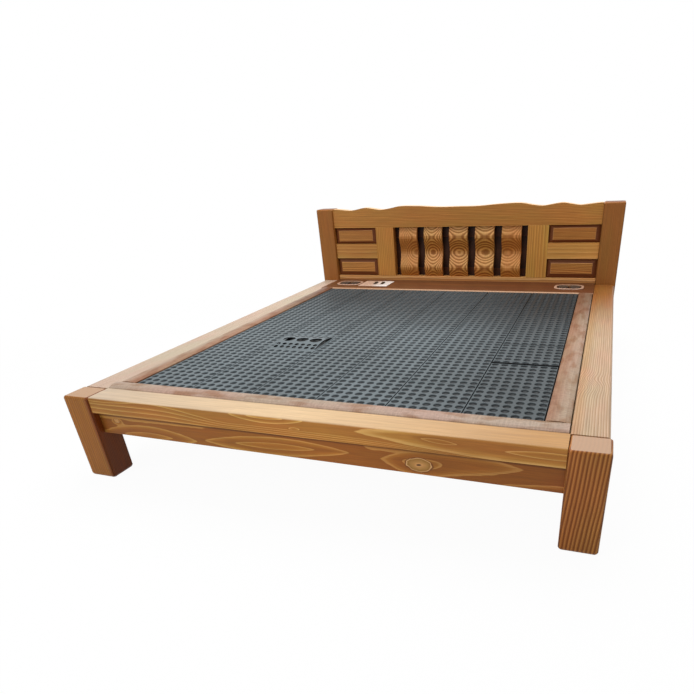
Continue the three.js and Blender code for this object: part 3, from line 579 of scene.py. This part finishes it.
def deck_nose(graph, colour):
    """The head deck, darker to the right, with a painted highlight along its front edge between the
    borders.
    """
    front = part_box("head_deck")[0].y
    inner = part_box("border_right")[0].x
    nose = graph.spread(graph.y, *(front + depth for depth in NOSE_FADE), 1.0, 0.0)
    between = graph.spread(graph.math("ABSOLUTE", graph.x), inner - NOSE_END, inner, *NOSE_COVER)
    colour = graph.stain(graph.spread(graph.x, *DECK_RIGHT), colour, DECK_RIGHT_TONE)
    # Painted highlight along the front edge
    return graph.mix(graph.product(nose, between), colour, NOSE_HIGHLIGHT_TONE)


# Painted light and sheen on the tops of the foot rail and of the headboard, from left to right
RAIL_TOP_LIGHT = (tone(191, 171, 147), tone(216, 185, 144), tone(184, 138, 86))
HEAD_TOP_LIGHT = (tone(214, 176, 130), tone(214, 176, 130))

# The right side rail's golden inner edge, its darker, more golden rear, and the swirl's place, length and
# reach
INNER_EDGE = (0.835, 0.865, 1.0, 0.0)
INNER_EDGE_TONE = tone(250, 237, 216)
REAR = (-0.15, 0.78)
REAR_TONE = tone(191, 150, 88)
SWIRL_PLACE = -0.60
SWIRL_LENGTH = 0.06
SWIRL_REACH = 0.032
SWIRL_FADE = (0.85, 0.93, 1.0, 0.2)


def rear_darkening(graph, colour):
    """The right side rail's golden inner edge, and darker, more golden towards the headboard."""
    colour = graph.stain(graph.spread(graph.x, *INNER_EDGE), colour, INNER_EDGE_TONE)
    return graph.stain(graph.spread(graph.y, *REAR), colour, REAR_TONE)


def rail_swirl(graph):
    """How far the grain swings aside where it passes a small swirl near the right side rail's foot."""
    away = graph.scaled(graph.y, 1 / SWIRL_LENGTH, -SWIRL_PLACE / SWIRL_LENGTH)
    fall = graph.math("EXPONENT", graph.product(away, away, -1.0))
    near = graph.spread(graph.x, *SWIRL_FADE)
    return graph.product(graph.product(away, SWIRL_REACH), graph.product(fall, near))


# Which way a slat's wave has to face to get painted shade, and the painted shade
WAVE_SLOPES = (-0.3, 0.3)
WAVE_SHADE_TONE = tone(224, 206, 166)


def slat_wave_shade(graph, colour):
    """A slat's front gets a darker, redder painted shade where its wave turns down, and none where it
    turns up.
    """
    return graph.stain(1.0, colour, graph.mix(graph.upward(*WAVE_SLOPES), WAVE_SHADE_TONE, WHITE))


# Figure of the border strips: its repeats in a metre along and across the strip, and its levels
BORDER_FIGURE = (190.0, 14.0)
BORDER_FIGURE_LEVELS = (-0.08, 0.06)
BORDER_SPECK = (150.0, 110.0)
BORDER_SPECK_LEVELS = (-0.10, 0.08)

# Their brown clouds, the side strips' inner half, darker than the painted sheen on their outer half, and
# their darker rear
BORDER_CLOUD = (9.0, 26.0)
BORDER_CLOUD_RANGE = (0.45, 0.65)
BORDER_CLOUD_TONE = tone(224, 203, 182)
BORDER_INNER = (-0.02, 0.01, 1.0, 0.0)
BORDER_INNER_TONE = tone(232, 212, 194)
BORDER_REAR = (-0.2, 0.7)
BORDER_REAR_TONE = tone(186, 170, 162)


def border_figure(node):
    """Fine figure across a border strip, with brown clouds; the side strips' inner half is darker than
    the painted sheen on their outer half, and they darken towards the headboard."""
    low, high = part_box(node)
    middle = (low + high) / 2
    foot = high.x - low.x > high.y - low.y

    def over(graph, colour):
        axes = (graph.x, graph.y) if foot else (graph.y, graph.x)
        figure = graph.noise(graph.point(axes, BORDER_FIGURE))
        speck = graph.noise(graph.point(axes, BORDER_SPECK), detail=3.0, roughness=0.6)
        cloud = graph.noise(graph.point(axes, BORDER_CLOUD))
        level = graph.total(graph.spread(figure, *NOISE_MIDDLE, *BORDER_FIGURE_LEVELS), 1.0,
                            graph.spread(speck, *NOISE_MIDDLE, *BORDER_SPECK_LEVELS))
        colour = graph.dim(colour, level)
        colour = graph.stain(graph.spread(cloud, *BORDER_CLOUD_RANGE), colour, BORDER_CLOUD_TONE)
        if foot:
            return colour
        outward = graph.scaled(graph.x, math.copysign(1.0, middle.x), -abs(middle.x))
        # Painted sheen: the inner half is darker than the outer half
        colour = graph.stain(graph.spread(outward, *BORDER_INNER), colour, BORDER_INNER_TONE)
        return graph.stain(graph.spread(graph.y, *BORDER_REAR), colour, BORDER_REAR_TONE)

    return over


def clad(node, grain, bevel, segments=2, **figure):
    """Gives a node wood of its own, with what wood takes as its figure."""
    dress(node, wood(f"{node}_wood", grain, **figure), bevel, segments)


# What differs between the two sides: where the piths of their rails lie, and the tints of the side
# rail, the stile and the rail between the panels
SIDES = {
    "left": (-0.70, (0.90, 1.17, 2.25), (1.42, 1.49, 1.37), (1.26, 1.46, 1.53)),
    "right": (0.62, (0.87, 0.99, 1.61), (1.51, 1.78, 1.62), (1.64, 1.84, 2.06)),
}

# Each slat's pith, aside from its middle and behind its front, its rings' contrast and its lightness
SLATS = (
    (0.060, 0.145, 0.42, 1.09),
    (-0.004, 0.095, 0.72, 1.05),
    (0.002, 0.180, 0.76, 1.0),
    (0.0, 0.200, 0.76, 1.05),
    (-0.022, 0.145, 0.42, 1.17),
)
SLAT_TINT = (1.91, 2.40, 2.90)
SLAT_SEED = 20.0
SLAT_SEED_STEP = 3.7


def clad_posts():
    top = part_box("leg_front_right")[1].z
    clad("leg_front_left", "z", tones=BROWN, pith=(-1.02, -1.32), spacing=0.0052, contrast=0.6,
         tint=(0.95, 0.96, 0.30), over=left_leg_faces(top), seed=3.1, bevel=0.004, segments=3)
    clad("leg_front_right", "z", tones=LEG, pith=(0.55, -1.02), spacing=0.0104, profile="stripe",
         tint=(1.05, 0.97, 0.63), warp=0.016, uneven=0.4, lean=(0.06, 0.0),
         over=end_grain(top, tone(185, 150, 122)), seed=6.7, bevel=0.004, segments=3)
    post_end = end_grain(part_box("headboard_post_left")[1].z, tone(104, 64, 42))
    clad("headboard_post_left", "z", tones=BROWN, pith=(-1.1, 0.8), spacing=0.005, contrast=0.55,
         tint=(1.08, 1.09, 0.78), over=post_end, seed=1.3, bevel=0.004, segments=3)
    clad("headboard_post_right", "z", tones=BROWN, pith=(1.12, 0.85), spacing=0.005, contrast=0.55,
         tint=(1.03, 1.08, 0.86), over=post_end, seed=8.2, bevel=0.004, segments=3)
    clad("centre_leg", "z", tones=PLAIN, pith=(0.1, 0.1), spacing=0.006, seed=2.0, bevel=0.004,
         segments=3)


def clad_side(name, x, rail_tint, stile_tint, mid_tint):
    """One side's rail, ledger, border and base board, and its stile, rail and panels in the headboard."""
    right = name == "right"
    clad(f"side_rail_{name}", "y", tones=PALE, pith=(x, 0.30), spacing=0.0076, tint=rail_tint,
         warp=0.006, bend=rail_swirl if right else None, over=rear_darkening if right else None,
         seed=5.0 + x, bevel=0.003, segments=3)
    clad(f"ledger_{name}", "y", tones=PLAIN, pith=(x, 0.0), spacing=0.006, seed=x, bevel=0.0015)
    clad(f"border_{name}", "y", tones=PINK, pith=(x * 1.3, 0.26), spacing=0.004, contrast=0.2,
         tint=(1.09, 1.46, 2.16), fleck=0.2, over=border_figure(f"border_{name}"), seed=7.0 + x,
         bevel=0.0015)
    clad(f"headboard_stile_{name}", "z", tones=GOLD, pith=(x, 1.3), spacing=0.007, contrast=0.55,
         tint=stile_tint, warp=0.008, seed=9.0 + x, bevel=0.002)
    clad(f"headboard_mid_rail_{name}", "x", tones=GOLD, pith=(1.25, 0.45), spacing=0.006,
         contrast=0.5, tint=mid_tint, seed=11.0 + x, bevel=0.002)
    for level, z, seed in (("upper", 0.50, 2.0), ("lower", 0.36, 5.0)):
        node = f"panel_{level}_{name}"
        clad(node, "x", tones=BROWN, pith=(1.08, z), spacing=0.0065, tint=PANEL_TINTS[node],
             warp=0.012, over=panel_groove(node), seed=seed + x, bevel=0.0012)
    clad(f"base_board_{name}", "y", tones=PLAIN, pith=(x, 2.0), spacing=0.02, seed=x, bevel=0.001)


def clad_boards():
    clad("foot_rail", "x", tones=RAIL, field=rail_field, profile="soft", contrast=0.84,
         tint=(1.45, 1.50, 1.16), top=RAIL_TOP_LIGHT, over=foot_rail_faces, seed=4.4, bevel=0.002)
    clad("border_foot", "x", tones=PINK, pith=(-0.9, 0.22), spacing=0.004, contrast=0.2,
         tint=(1.13, 1.56, 2.5), fleck=0.2, over=border_figure("border_foot"), bevel=0.0015)
    clad("headboard_top_rail", "x", tones=GOLD, pith=(1.2, 0.50), spacing=0.006, contrast=0.9,
         tint=(1.25, 1.27, 1.15), warp=0.01, top=HEAD_TOP_LIGHT, seed=14.0, bevel=0.003)
    clad("headboard_bottom_rail", "x", tones=GOLD, pith=(1.3, 0.30), spacing=0.006, contrast=0.8,
         tint=(1.55, 1.74, 2.56), seed=15.0, bevel=0.002)
    clad("headboard_back_board", "x", tones=DARK, pith=(1.4, 0.5), spacing=0.02,
         tint=(2.2, 0.98, 0.33), seed=16.0, bevel=0.001)
    clad("head_deck", "x", tones=DECK, pith=(0.9, 0.10), spacing=0.006, contrast=0.7,
         tint=(0.58, 0.63, 0.49), over=deck_nose, seed=17.0, bevel=0.0015)
    clad("centre_beam", "y", tones=PLAIN, pith=(0.02, 0.0), spacing=0.006, seed=18.0, bevel=0.002)


def clad_slats():
    for index, (aside, behind, contrast, light) in enumerate(SLATS):
        node = f"wave_slat_{index + 1}"
        low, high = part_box(node)
        middle = (low.x + high.x) / 2
        clad(node, "z", tones=STRIPE, pith=(middle + aside, low.y + behind), spacing=0.0058,
             profile="stripe", contrast=contrast, tint=[value * light for value in SLAT_TINT],
             warp=0.012, uneven=0.9, over=slat_wave_shade, seed=SLAT_SEED + index * SLAT_SEED_STEP,
             bevel=0.003, segments=3)


# Dimpled mat: square fields of round bowls, each given by radius and depth from its rim to its floor
DIMPLES = 7
TILE_ROWS = 7
REAR_ROWS = 5
QUARTER = 4
BOWL = ((0.0146, 0.0), (0.0130, 0.0032), (0.0098, 0.0058))
LAND = 0.0006

# The chamfer at a tile's seams along X and Y, its drop, half the slit between rows, and how much
# wider the chamfer is at the open seam in the sixth column
SEAM = (0.0021, 0.0004)
SEAM_DROP = 0.006
SLIT = 0.00015
OPEN_SEAM = 0.0052


def rectangle_ring(xs, ys):
    """Points round a rectangle through all its stations, from its far right corner over the left one."""
    return ([(x, ys[-1]) for x in reversed(xs[1:])] + [(xs[0], y) for y in reversed(ys[1:])]
            + [(x, ys[0]) for x in xs[:-1]] + [(xs[-1], y) for y in ys[:-1]])


def round_ring(middle, radius, low, high):
    """Points round a circle, from its far right corner on, held between two corners."""
    count = QUARTER * 4
    points = []
    for k in range(count):
        angle = math.pi / 4 + 2 * math.pi * k / count
        x = middle[0] + radius * math.cos(angle)
        y = middle[1] + radius * math.sin(angle)
        points.append((min(max(x, low[0]), high[0]), min(max(y, low[1]), high[1])))
    return points


def stations(start, pitch, low, high):
    """Quarter points of a tile's cells along one axis, with its outer cells cut at low and high."""
    points = []
    for cell in range(DIMPLES):
        first = max(start + cell * pitch, low)
        last = min(start + (cell + 1) * pitch, high)
        points += [first + (last - first) * step / QUARTER for step in range(QUARTER)]
    return points + [high]


class Mould:
    """Collects shared points and faces of a mesh."""

    def __init__(self):
        self.points = []
        self.index = {}
        self.faces = []
        self.smooth = []

    def point(self, x, y, z):
        """The number of a point, which is shared within a thousandth of a millimetre."""
        key = tuple(round(value * 1e6) for value in (x, y, z))
        if key not in self.index:
            self.index[key] = len(self.points)
            self.points.append((x, y, z))
        return self.index[key]

    def loop(self, points, z):
        return [self.point(x, y, z) for x, y in points]

    def face(self, points, smooth=False):
        self.faces.append(tuple(points))
        self.smooth.append(smooth)

    def band(self, outer, inner, smooth=False):
        count = len(outer)
        for k in range(count):
            n = (k + 1) % count
            self.face((outer[k], outer[n], inner[n], inner[k]), smooth)

    def piece(self, name, material):
        mesh = bpy.data.meshes.new(name)
        mesh.from_pydata(self.points, [], self.faces)
        mesh.materials.append(material)
        mesh.polygons.foreach_set("use_smooth", self.smooth)
        mesh.update()
        piece = bpy.data.objects.new(name, mesh)
        bpy.context.scene.collection.objects.link(piece)
        return piece


def bowl_into(mould, cell, middle, low, high, top):
    """One dimple: its land from the cell's edge to the bowl's rim, its wall and its floor."""
    outer = mould.loop(rectangle_ring(*cell), top)
    for index, (radius, depth) in enumerate(BOWL):
        inset = LAND + depth / 2
        ring_low = [value + inset for value in low]
        ring_high = [value - inset for value in high]
        inner = mould.loop(round_ring(middle, radius, ring_low, ring_high), top - depth)
        mould.band(outer, inner, smooth=index > 0)
        outer = inner
    mould.face(outer, smooth=True)


def tile_into(mould, start, pitch, low, high, open_front=0.0, open_rear=0.0):
    """One mat tile between two corners: dimples at their pitch from start, and a chamfer at each seam,
    which is wider where the tile stands open to its neighbour in front or behind."""
    top, bottom = high[2], low[2]
    top_low = [low[0] + SEAM[0], low[1] + SEAM[1] + open_front]
    top_high = [high[0] - SEAM[0], high[1] - SEAM[1] - open_rear]
    xs, ys = (stations(start[axis], pitch[axis], top_low[axis], top_high[axis]) for axis in (0, 1))
    for i in range(DIMPLES):
        for j in range(DIMPLES):
            cell = [line[k * QUARTER:(k + 1) * QUARTER + 1] for line, k in ((xs, i), (ys, j))]
            middle = [start[axis] + (k + 0.5) * pitch[axis] for axis, k in ((0, i), (1, j))]
            bowl_into(mould, cell, middle, top_low, top_high, top)
    outline = rectangle_ring([low[0]] + xs[1:-1] + [high[0]], [low[1]] + ys[1:-1] + [high[1]])
    loops = [mould.loop(outline, bottom), mould.loop(outline, top - SEAM_DROP),
             mould.loop(rectangle_ring(xs, ys), top)]
    for outer, inner in zip(loops, loops[1:]):
        mould.band(outer, inner)
    mould.face(reversed(loops[0]))


def mat_grid():
    """The tiles' first corner and their pitch, from two neighbouring strips."""
    third_low, third_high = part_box("mat_strip_3")
    fourth_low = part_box("mat_strip_4")[0]
    gap = fourth_low.x - third_high.x
    pitch = (fourth_low.x - third_low.x, (third_high.y - third_low.y + 2 * gap) / TILE_ROWS)
    return (third_low.x - gap / 2 - 2 * pitch[0], third_low.y - gap), pitch


# Rubber: its two greys and its speckle, and the painted shade down in the bowls and on steep walls
RUBBER = (tone(86, 94, 97), tone(96, 105, 109))
RUBBER_CLOUD = 2.4
RUBBER_GRAIN = 900.0
SPECKLE = tone(58, 63, 65)
SPECKLE_COVER = 0.25
BOWL_FADE = (-0.0045, -0.0002)
BOWL_SHADE_TONE = tone(28, 33, 36)
WALL_SLOPES = (0.22, 0.5)
WALL_SHADE_TONE = tone(24, 27, 29)

# A painted reflection: lighter at the front and left, darker to the right and to the rear, most of all in
# the corner between them
REFLECTION_RIGHT = (0.2, 0.62, 1.18, 0.66)
REFLECTION_REAR = (-0.3, 0.5, 1.02, 0.42)
REFLECTION_CORNER_FADE = (-0.1, 0.5)
REFLECTION_CORNER_LOSS = -0.34

# The painted shadow in the open seam in the sixth column and in the next seam behind it, by distance
OPEN_SHADOW = (0.0075, 0.0095, 1.0, 0.0)
NEXT_SHADOW = (0.003, 0.006, 0.7, 0.0)
SEAM_SHADOW_TONE = tone(6, 7, 8)
SEAM_ROUGHNESS = 0.5

RUBBER_BUMP = (0.0003, 0.5)
RUBBER_ROUGHNESS = (0.38, 0.5)
RUBBER_SPECULAR = 0.16


def open_seam_shadow(graph):
    """How much painted shadow lies in the seams where the sixth column's tiles stand apart."""
    front_end, rear_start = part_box("mat_strip_6_front")[1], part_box("mat_strip_6_rear")[0]
    seam = (front_end.y + rear_start.y) / 2
    row = (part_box("mat_strip_6_rear")[1].y - seam) / REAR_ROWS
    off = graph.math("ABSOLUTE", graph.scaled(graph.y, 1.0, -seam))
    next_off = graph.math("ABSOLUTE", graph.scaled(graph.y, 1.0, -seam - row))
    dark = graph.math("MAXIMUM", graph.spread(off, *OPEN_SHADOW), graph.spread(next_off, *NEXT_SHADOW))
    return graph.product(dark, graph.math("GREATER_THAN", graph.x, rear_start.x))


def mat_material():
    """Rubber: a painted reflection makes it lighter at the front and left, and painted shade makes it
    dark down in dimples and gaps and along the open seam in the sixth column."""
    graph = Surface("mat_rubber")
    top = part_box("mat_strip_3")[1].z
    grain = graph.noise(graph.even_point(RUBBER_GRAIN))
    cloud = graph.noise(graph.point((graph.x, graph.y), (RUBBER_CLOUD, RUBBER_CLOUD)), detail=3.0)
    face = graph.mix(graph.spread(cloud, *NOISE_RANGE), *RUBBER)
    face = graph.mix(graph.scaled(grain, SPECKLE_COVER), face, SPECKLE)
    # Painted shade down in the bowls
    bowl = graph.spread(graph.z, *(top + depth for depth in BOWL_FADE), 1.0, 0.0)
    colour = graph.mix(bowl, face, BOWL_SHADE_TONE)
    # Painted reflection, lighter at the front and left and darker to the right and rear
    painted_reflection = graph.product(graph.spread(graph.x, *REFLECTION_RIGHT), graph.spread(graph.y, *REFLECTION_REAR))
    corner = graph.product(graph.spread(graph.x, *REFLECTION_CORNER_FADE), graph.spread(graph.y, *REFLECTION_CORNER_FADE))
    colour = graph.dim(colour, graph.product(painted_reflection, graph.scaled(corner, REFLECTION_CORNER_LOSS, 1.0)))
    # Painted shade on steep walls
    colour = graph.mix(graph.upward(*WALL_SLOPES), WALL_SHADE_TONE, colour)
    # Painted shadow in the open seam and the next one behind it, with a rougher surface there
    gap = open_seam_shadow(graph)
    colour = graph.mix(gap, colour, SEAM_SHADOW_TONE)
    roughness = graph.total(graph.spread(grain, *NOISE_RANGE, *RUBBER_ROUGHNESS),
                            graph.scaled(gap, SEAM_ROUGHNESS))
    return graph.finish(colour, roughness, graph.bump(grain, *RUBBER_BUMP),
                        Specular_IOR_Level=RUBBER_SPECULAR)


def make_mat():
    material = mat_material()
    start, pitch = mat_grid()
    cell_pitch = [value / DIMPLES for value in pitch]
    strips = ("mat_strip_1", "mat_strip_2_front", "mat_strip_2_rear", "mat_strip_3", "mat_strip_4",
              "mat_strip_5", "mat_strip_6_front", "mat_strip_6_rear")
    for node in strips:
        low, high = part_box(node)
        column = math.floor(((low.x + high.x) / 2 - start[0]) / pitch[0])
        rows = [round((value - start[1]) / pitch[1]) for value in (low.y, high.y)]
        mould = Mould()
        for row in range(*rows):
            corner = (start[0] + column * pitch[0], start[1] + row * pitch[1])
            tile_low = (low.x, max(low.y, corner[1] + SLIT), low.z)
            tile_high = (high.x, min(high.y, corner[1] + pitch[1] - SLIT), high.z)
            open_front = OPEN_SEAM if node == "mat_strip_6_rear" and row == rows[0] else 0.0
            open_rear = OPEN_SEAM if node == "mat_strip_6_front" and row == rows[1] - 1 else 0.0
            tile_into(mould, corner, cell_pitch, tile_low, tile_high, open_front, open_rear)
        piece = mould.piece(node.replace("mat_strip", "mat_dimples"), material)
        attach(piece, "bed")
        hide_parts(node)
    dress("mat_arched_tile", material, 0.0008)


# Moulded plastic: the repeats of its broad unevenness in a metre, its gloss's spread and its bump
BROAD_REPEATS = 30.0
GLOSS_SPREAD = (0.85, 1.2)
PLASTIC_BUMP = 0.4

# A painted reflection of the wood tinges the switch plate's left end, and fades out between these ends
PLATE_FADE = (0.06, -0.03)
PLATE_TONES = (tone(198, 165, 143), tone(230, 223, 217))


def moulded(name, colour, roughness, speck=0.04, grain=700.0, bump=0.0001, **sockets):
    """Moulded plastic: an even colour with a fine grain, slightly uneven gloss and faint wear."""
    graph = Surface(name)
    fine = graph.noise(graph.even_point(grain))
    broad = graph.noise(graph.even_point(BROAD_REPEATS))
    level = graph.total(graph.spread(fine, *NOISE_RANGE, -speck, speck),
                        graph.spread(broad, *NOISE_RANGE, -speck, speck), 1.0)
    if callable(colour):
        colour = colour(graph)
    gloss = graph.spread(broad, *NOISE_RANGE, *(roughness * share for share in GLOSS_SPREAD))
    return graph.finish(graph.dim(colour, level), gloss, graph.bump(fine, bump, PLASTIC_BUMP), **sockets)


def plate_colour(graph):
    """The switch plate has a painted reflection of the wood at its left end and is white at its right end.
    """
    low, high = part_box("switch_plate")
    return graph.mix(graph.spread(graph.x, low.x + PLATE_FADE[0], high.x + PLATE_FADE[1]), *PLATE_TONES)


def dress_small_parts():
    bezel = moulded("bezel_plastic", tone(178, 140, 116), 0.35)
    face = moulded("face_gloss", tone(34, 30, 27), 0.12, Coat_Weight=0.6, Coat_Roughness=0.05)
    key = moulded("key_plastic", tone(58, 54, 50), 0.3)
    plate = moulded("plate_plastic", plate_colour, 0.28)
    rocker = moulded("rocker_plastic", tone(40, 36, 32), 0.25)
    cable = moulded("cable_rubber", tone(30, 30, 31), 0.5)
    felt = moulded("insulation_felt", tone(150, 146, 138), 0.9, speck=0.12, grain=400.0, bump=0.0008)
    heater = moulded("heater_film", tone(58, 60, 60), 0.42, speck=0.08)
    for side in ("left", "right"):
        dress(f"controller_housing_{side}", bezel, 0.0012, 3)
        dress(f"controller_face_{side}", face, 0.0006)
        for way in ("down", "up"):
            dress(f"temperature_key_{side}_{way}", key, 0.0006, 3)
        dress(f"rocker_switch_{side}", rocker, 0.0005)
        dress(f"heater_lead_{side}", cable, 0)
        dress(f"heating_panel_{side}", heater, 0.0002, 1)
    dress("switch_plate", plate, 0.0009, 3)
    dress("supply_lead", cable, 0)
    dress("power_inlet", cable, 0.0004)
    dress("insulation_board", felt, 0.001)


# A pale room, and two soft lamps: place, aim, width and power
ROOM_TONE = (0.95, 0.98, 1.0, 1.0)
ROOM_STRENGTH = 0.42
LAMPS = {
    "top_light": ((0.0, 0.9, 3.6), (0.0, 0.0, 0.3), 3.6, 150.0),
    "front_light": ((-2.4, -4.2, 2.6), (0.0, -0.6, 0.3), 2.6, 68.0),
}


def make_light():
    world = bpy.data.worlds.new("studio")
    bpy.context.scene.world = world
    graph = Graph(world)
    path = graph.add("ShaderNodeLightPath")
    seen = graph.math("MAXIMUM", path.outputs["Is Camera Ray"], path.outputs["Is Glossy Ray"])
    seen = graph.math("MAXIMUM", seen, path.outputs["Is Transmission Ray"])
    dim = graph.shader("ShaderNodeBackground", Color=ROOM_TONE, Strength=ROOM_STRENGTH)
    bright = graph.shader("ShaderNodeBackground", Color=WHITE, Strength=1.0)
    graph.output("ShaderNodeOutputWorld", graph.blend_shaders(seen, dim, bright))
    for name, (place, aim, size, power) in LAMPS.items():
        data = bpy.data.lights.new(name, "AREA")
        data.shape = "DISK"
        data.size = size
        data.energy = power
        lamp = bpy.data.objects.new(name, data)
        bpy.context.scene.collection.objects.link(lamp)
        turn = (Vector(aim) - Vector(place)).to_track_quat("-Z", "Y")
        lamp.matrix_world = Matrix.Translation(place) @ turn.to_matrix().to_4x4()


# A white floor, a little greyer under the bed than far from it
FLOOR_REACH = 14.0
FLOOR_TONE = (0.86, 0.86, 0.86, 1.0)
FLOOR_GLOW = (1.2, 3.6, 0.96, 1.0)


def make_floor():
    graph = Surface("floor_white")
    path = graph.add("ShaderNodeLightPath")
    matt = graph.shader("ShaderNodeBsdfDiffuse", Color=FLOOR_TONE)
    glow = graph.shader("ShaderNodeEmission", Color=WHITE, Strength=1.0)
    seen = graph.math("MAXIMUM", path.outputs["Is Camera Ray"], path.outputs["Is Glossy Ray"])
    share = graph.product(seen, graph.spread(graph.length(graph.x, graph.y), *FLOOR_GLOW))
    material = graph.output("ShaderNodeOutputMaterial", graph.blend_shaders(share, matt, glow))
    corners = [(x * FLOOR_REACH, y * FLOOR_REACH, 0) for x, y in ((-1, -1), (1, -1), (1, 1), (-1, 1))]
    mesh = bpy.data.meshes.new("floor")
    mesh.from_pydata(corners, [], [(0, 1, 2, 3)])
    mesh.materials.append(material)
    floor = bpy.data.objects.new("floor", mesh)
    bpy.context.scene.collection.objects.link(floor)


bpy.context.scene.view_settings.view_transform = "Standard"
make_camera()
make_light()
make_floor()
clad_posts()
for side, values in SIDES.items():
    clad_side(side, *values)
clad_boards()
clad_slats()
make_mat()
dress_small_parts()
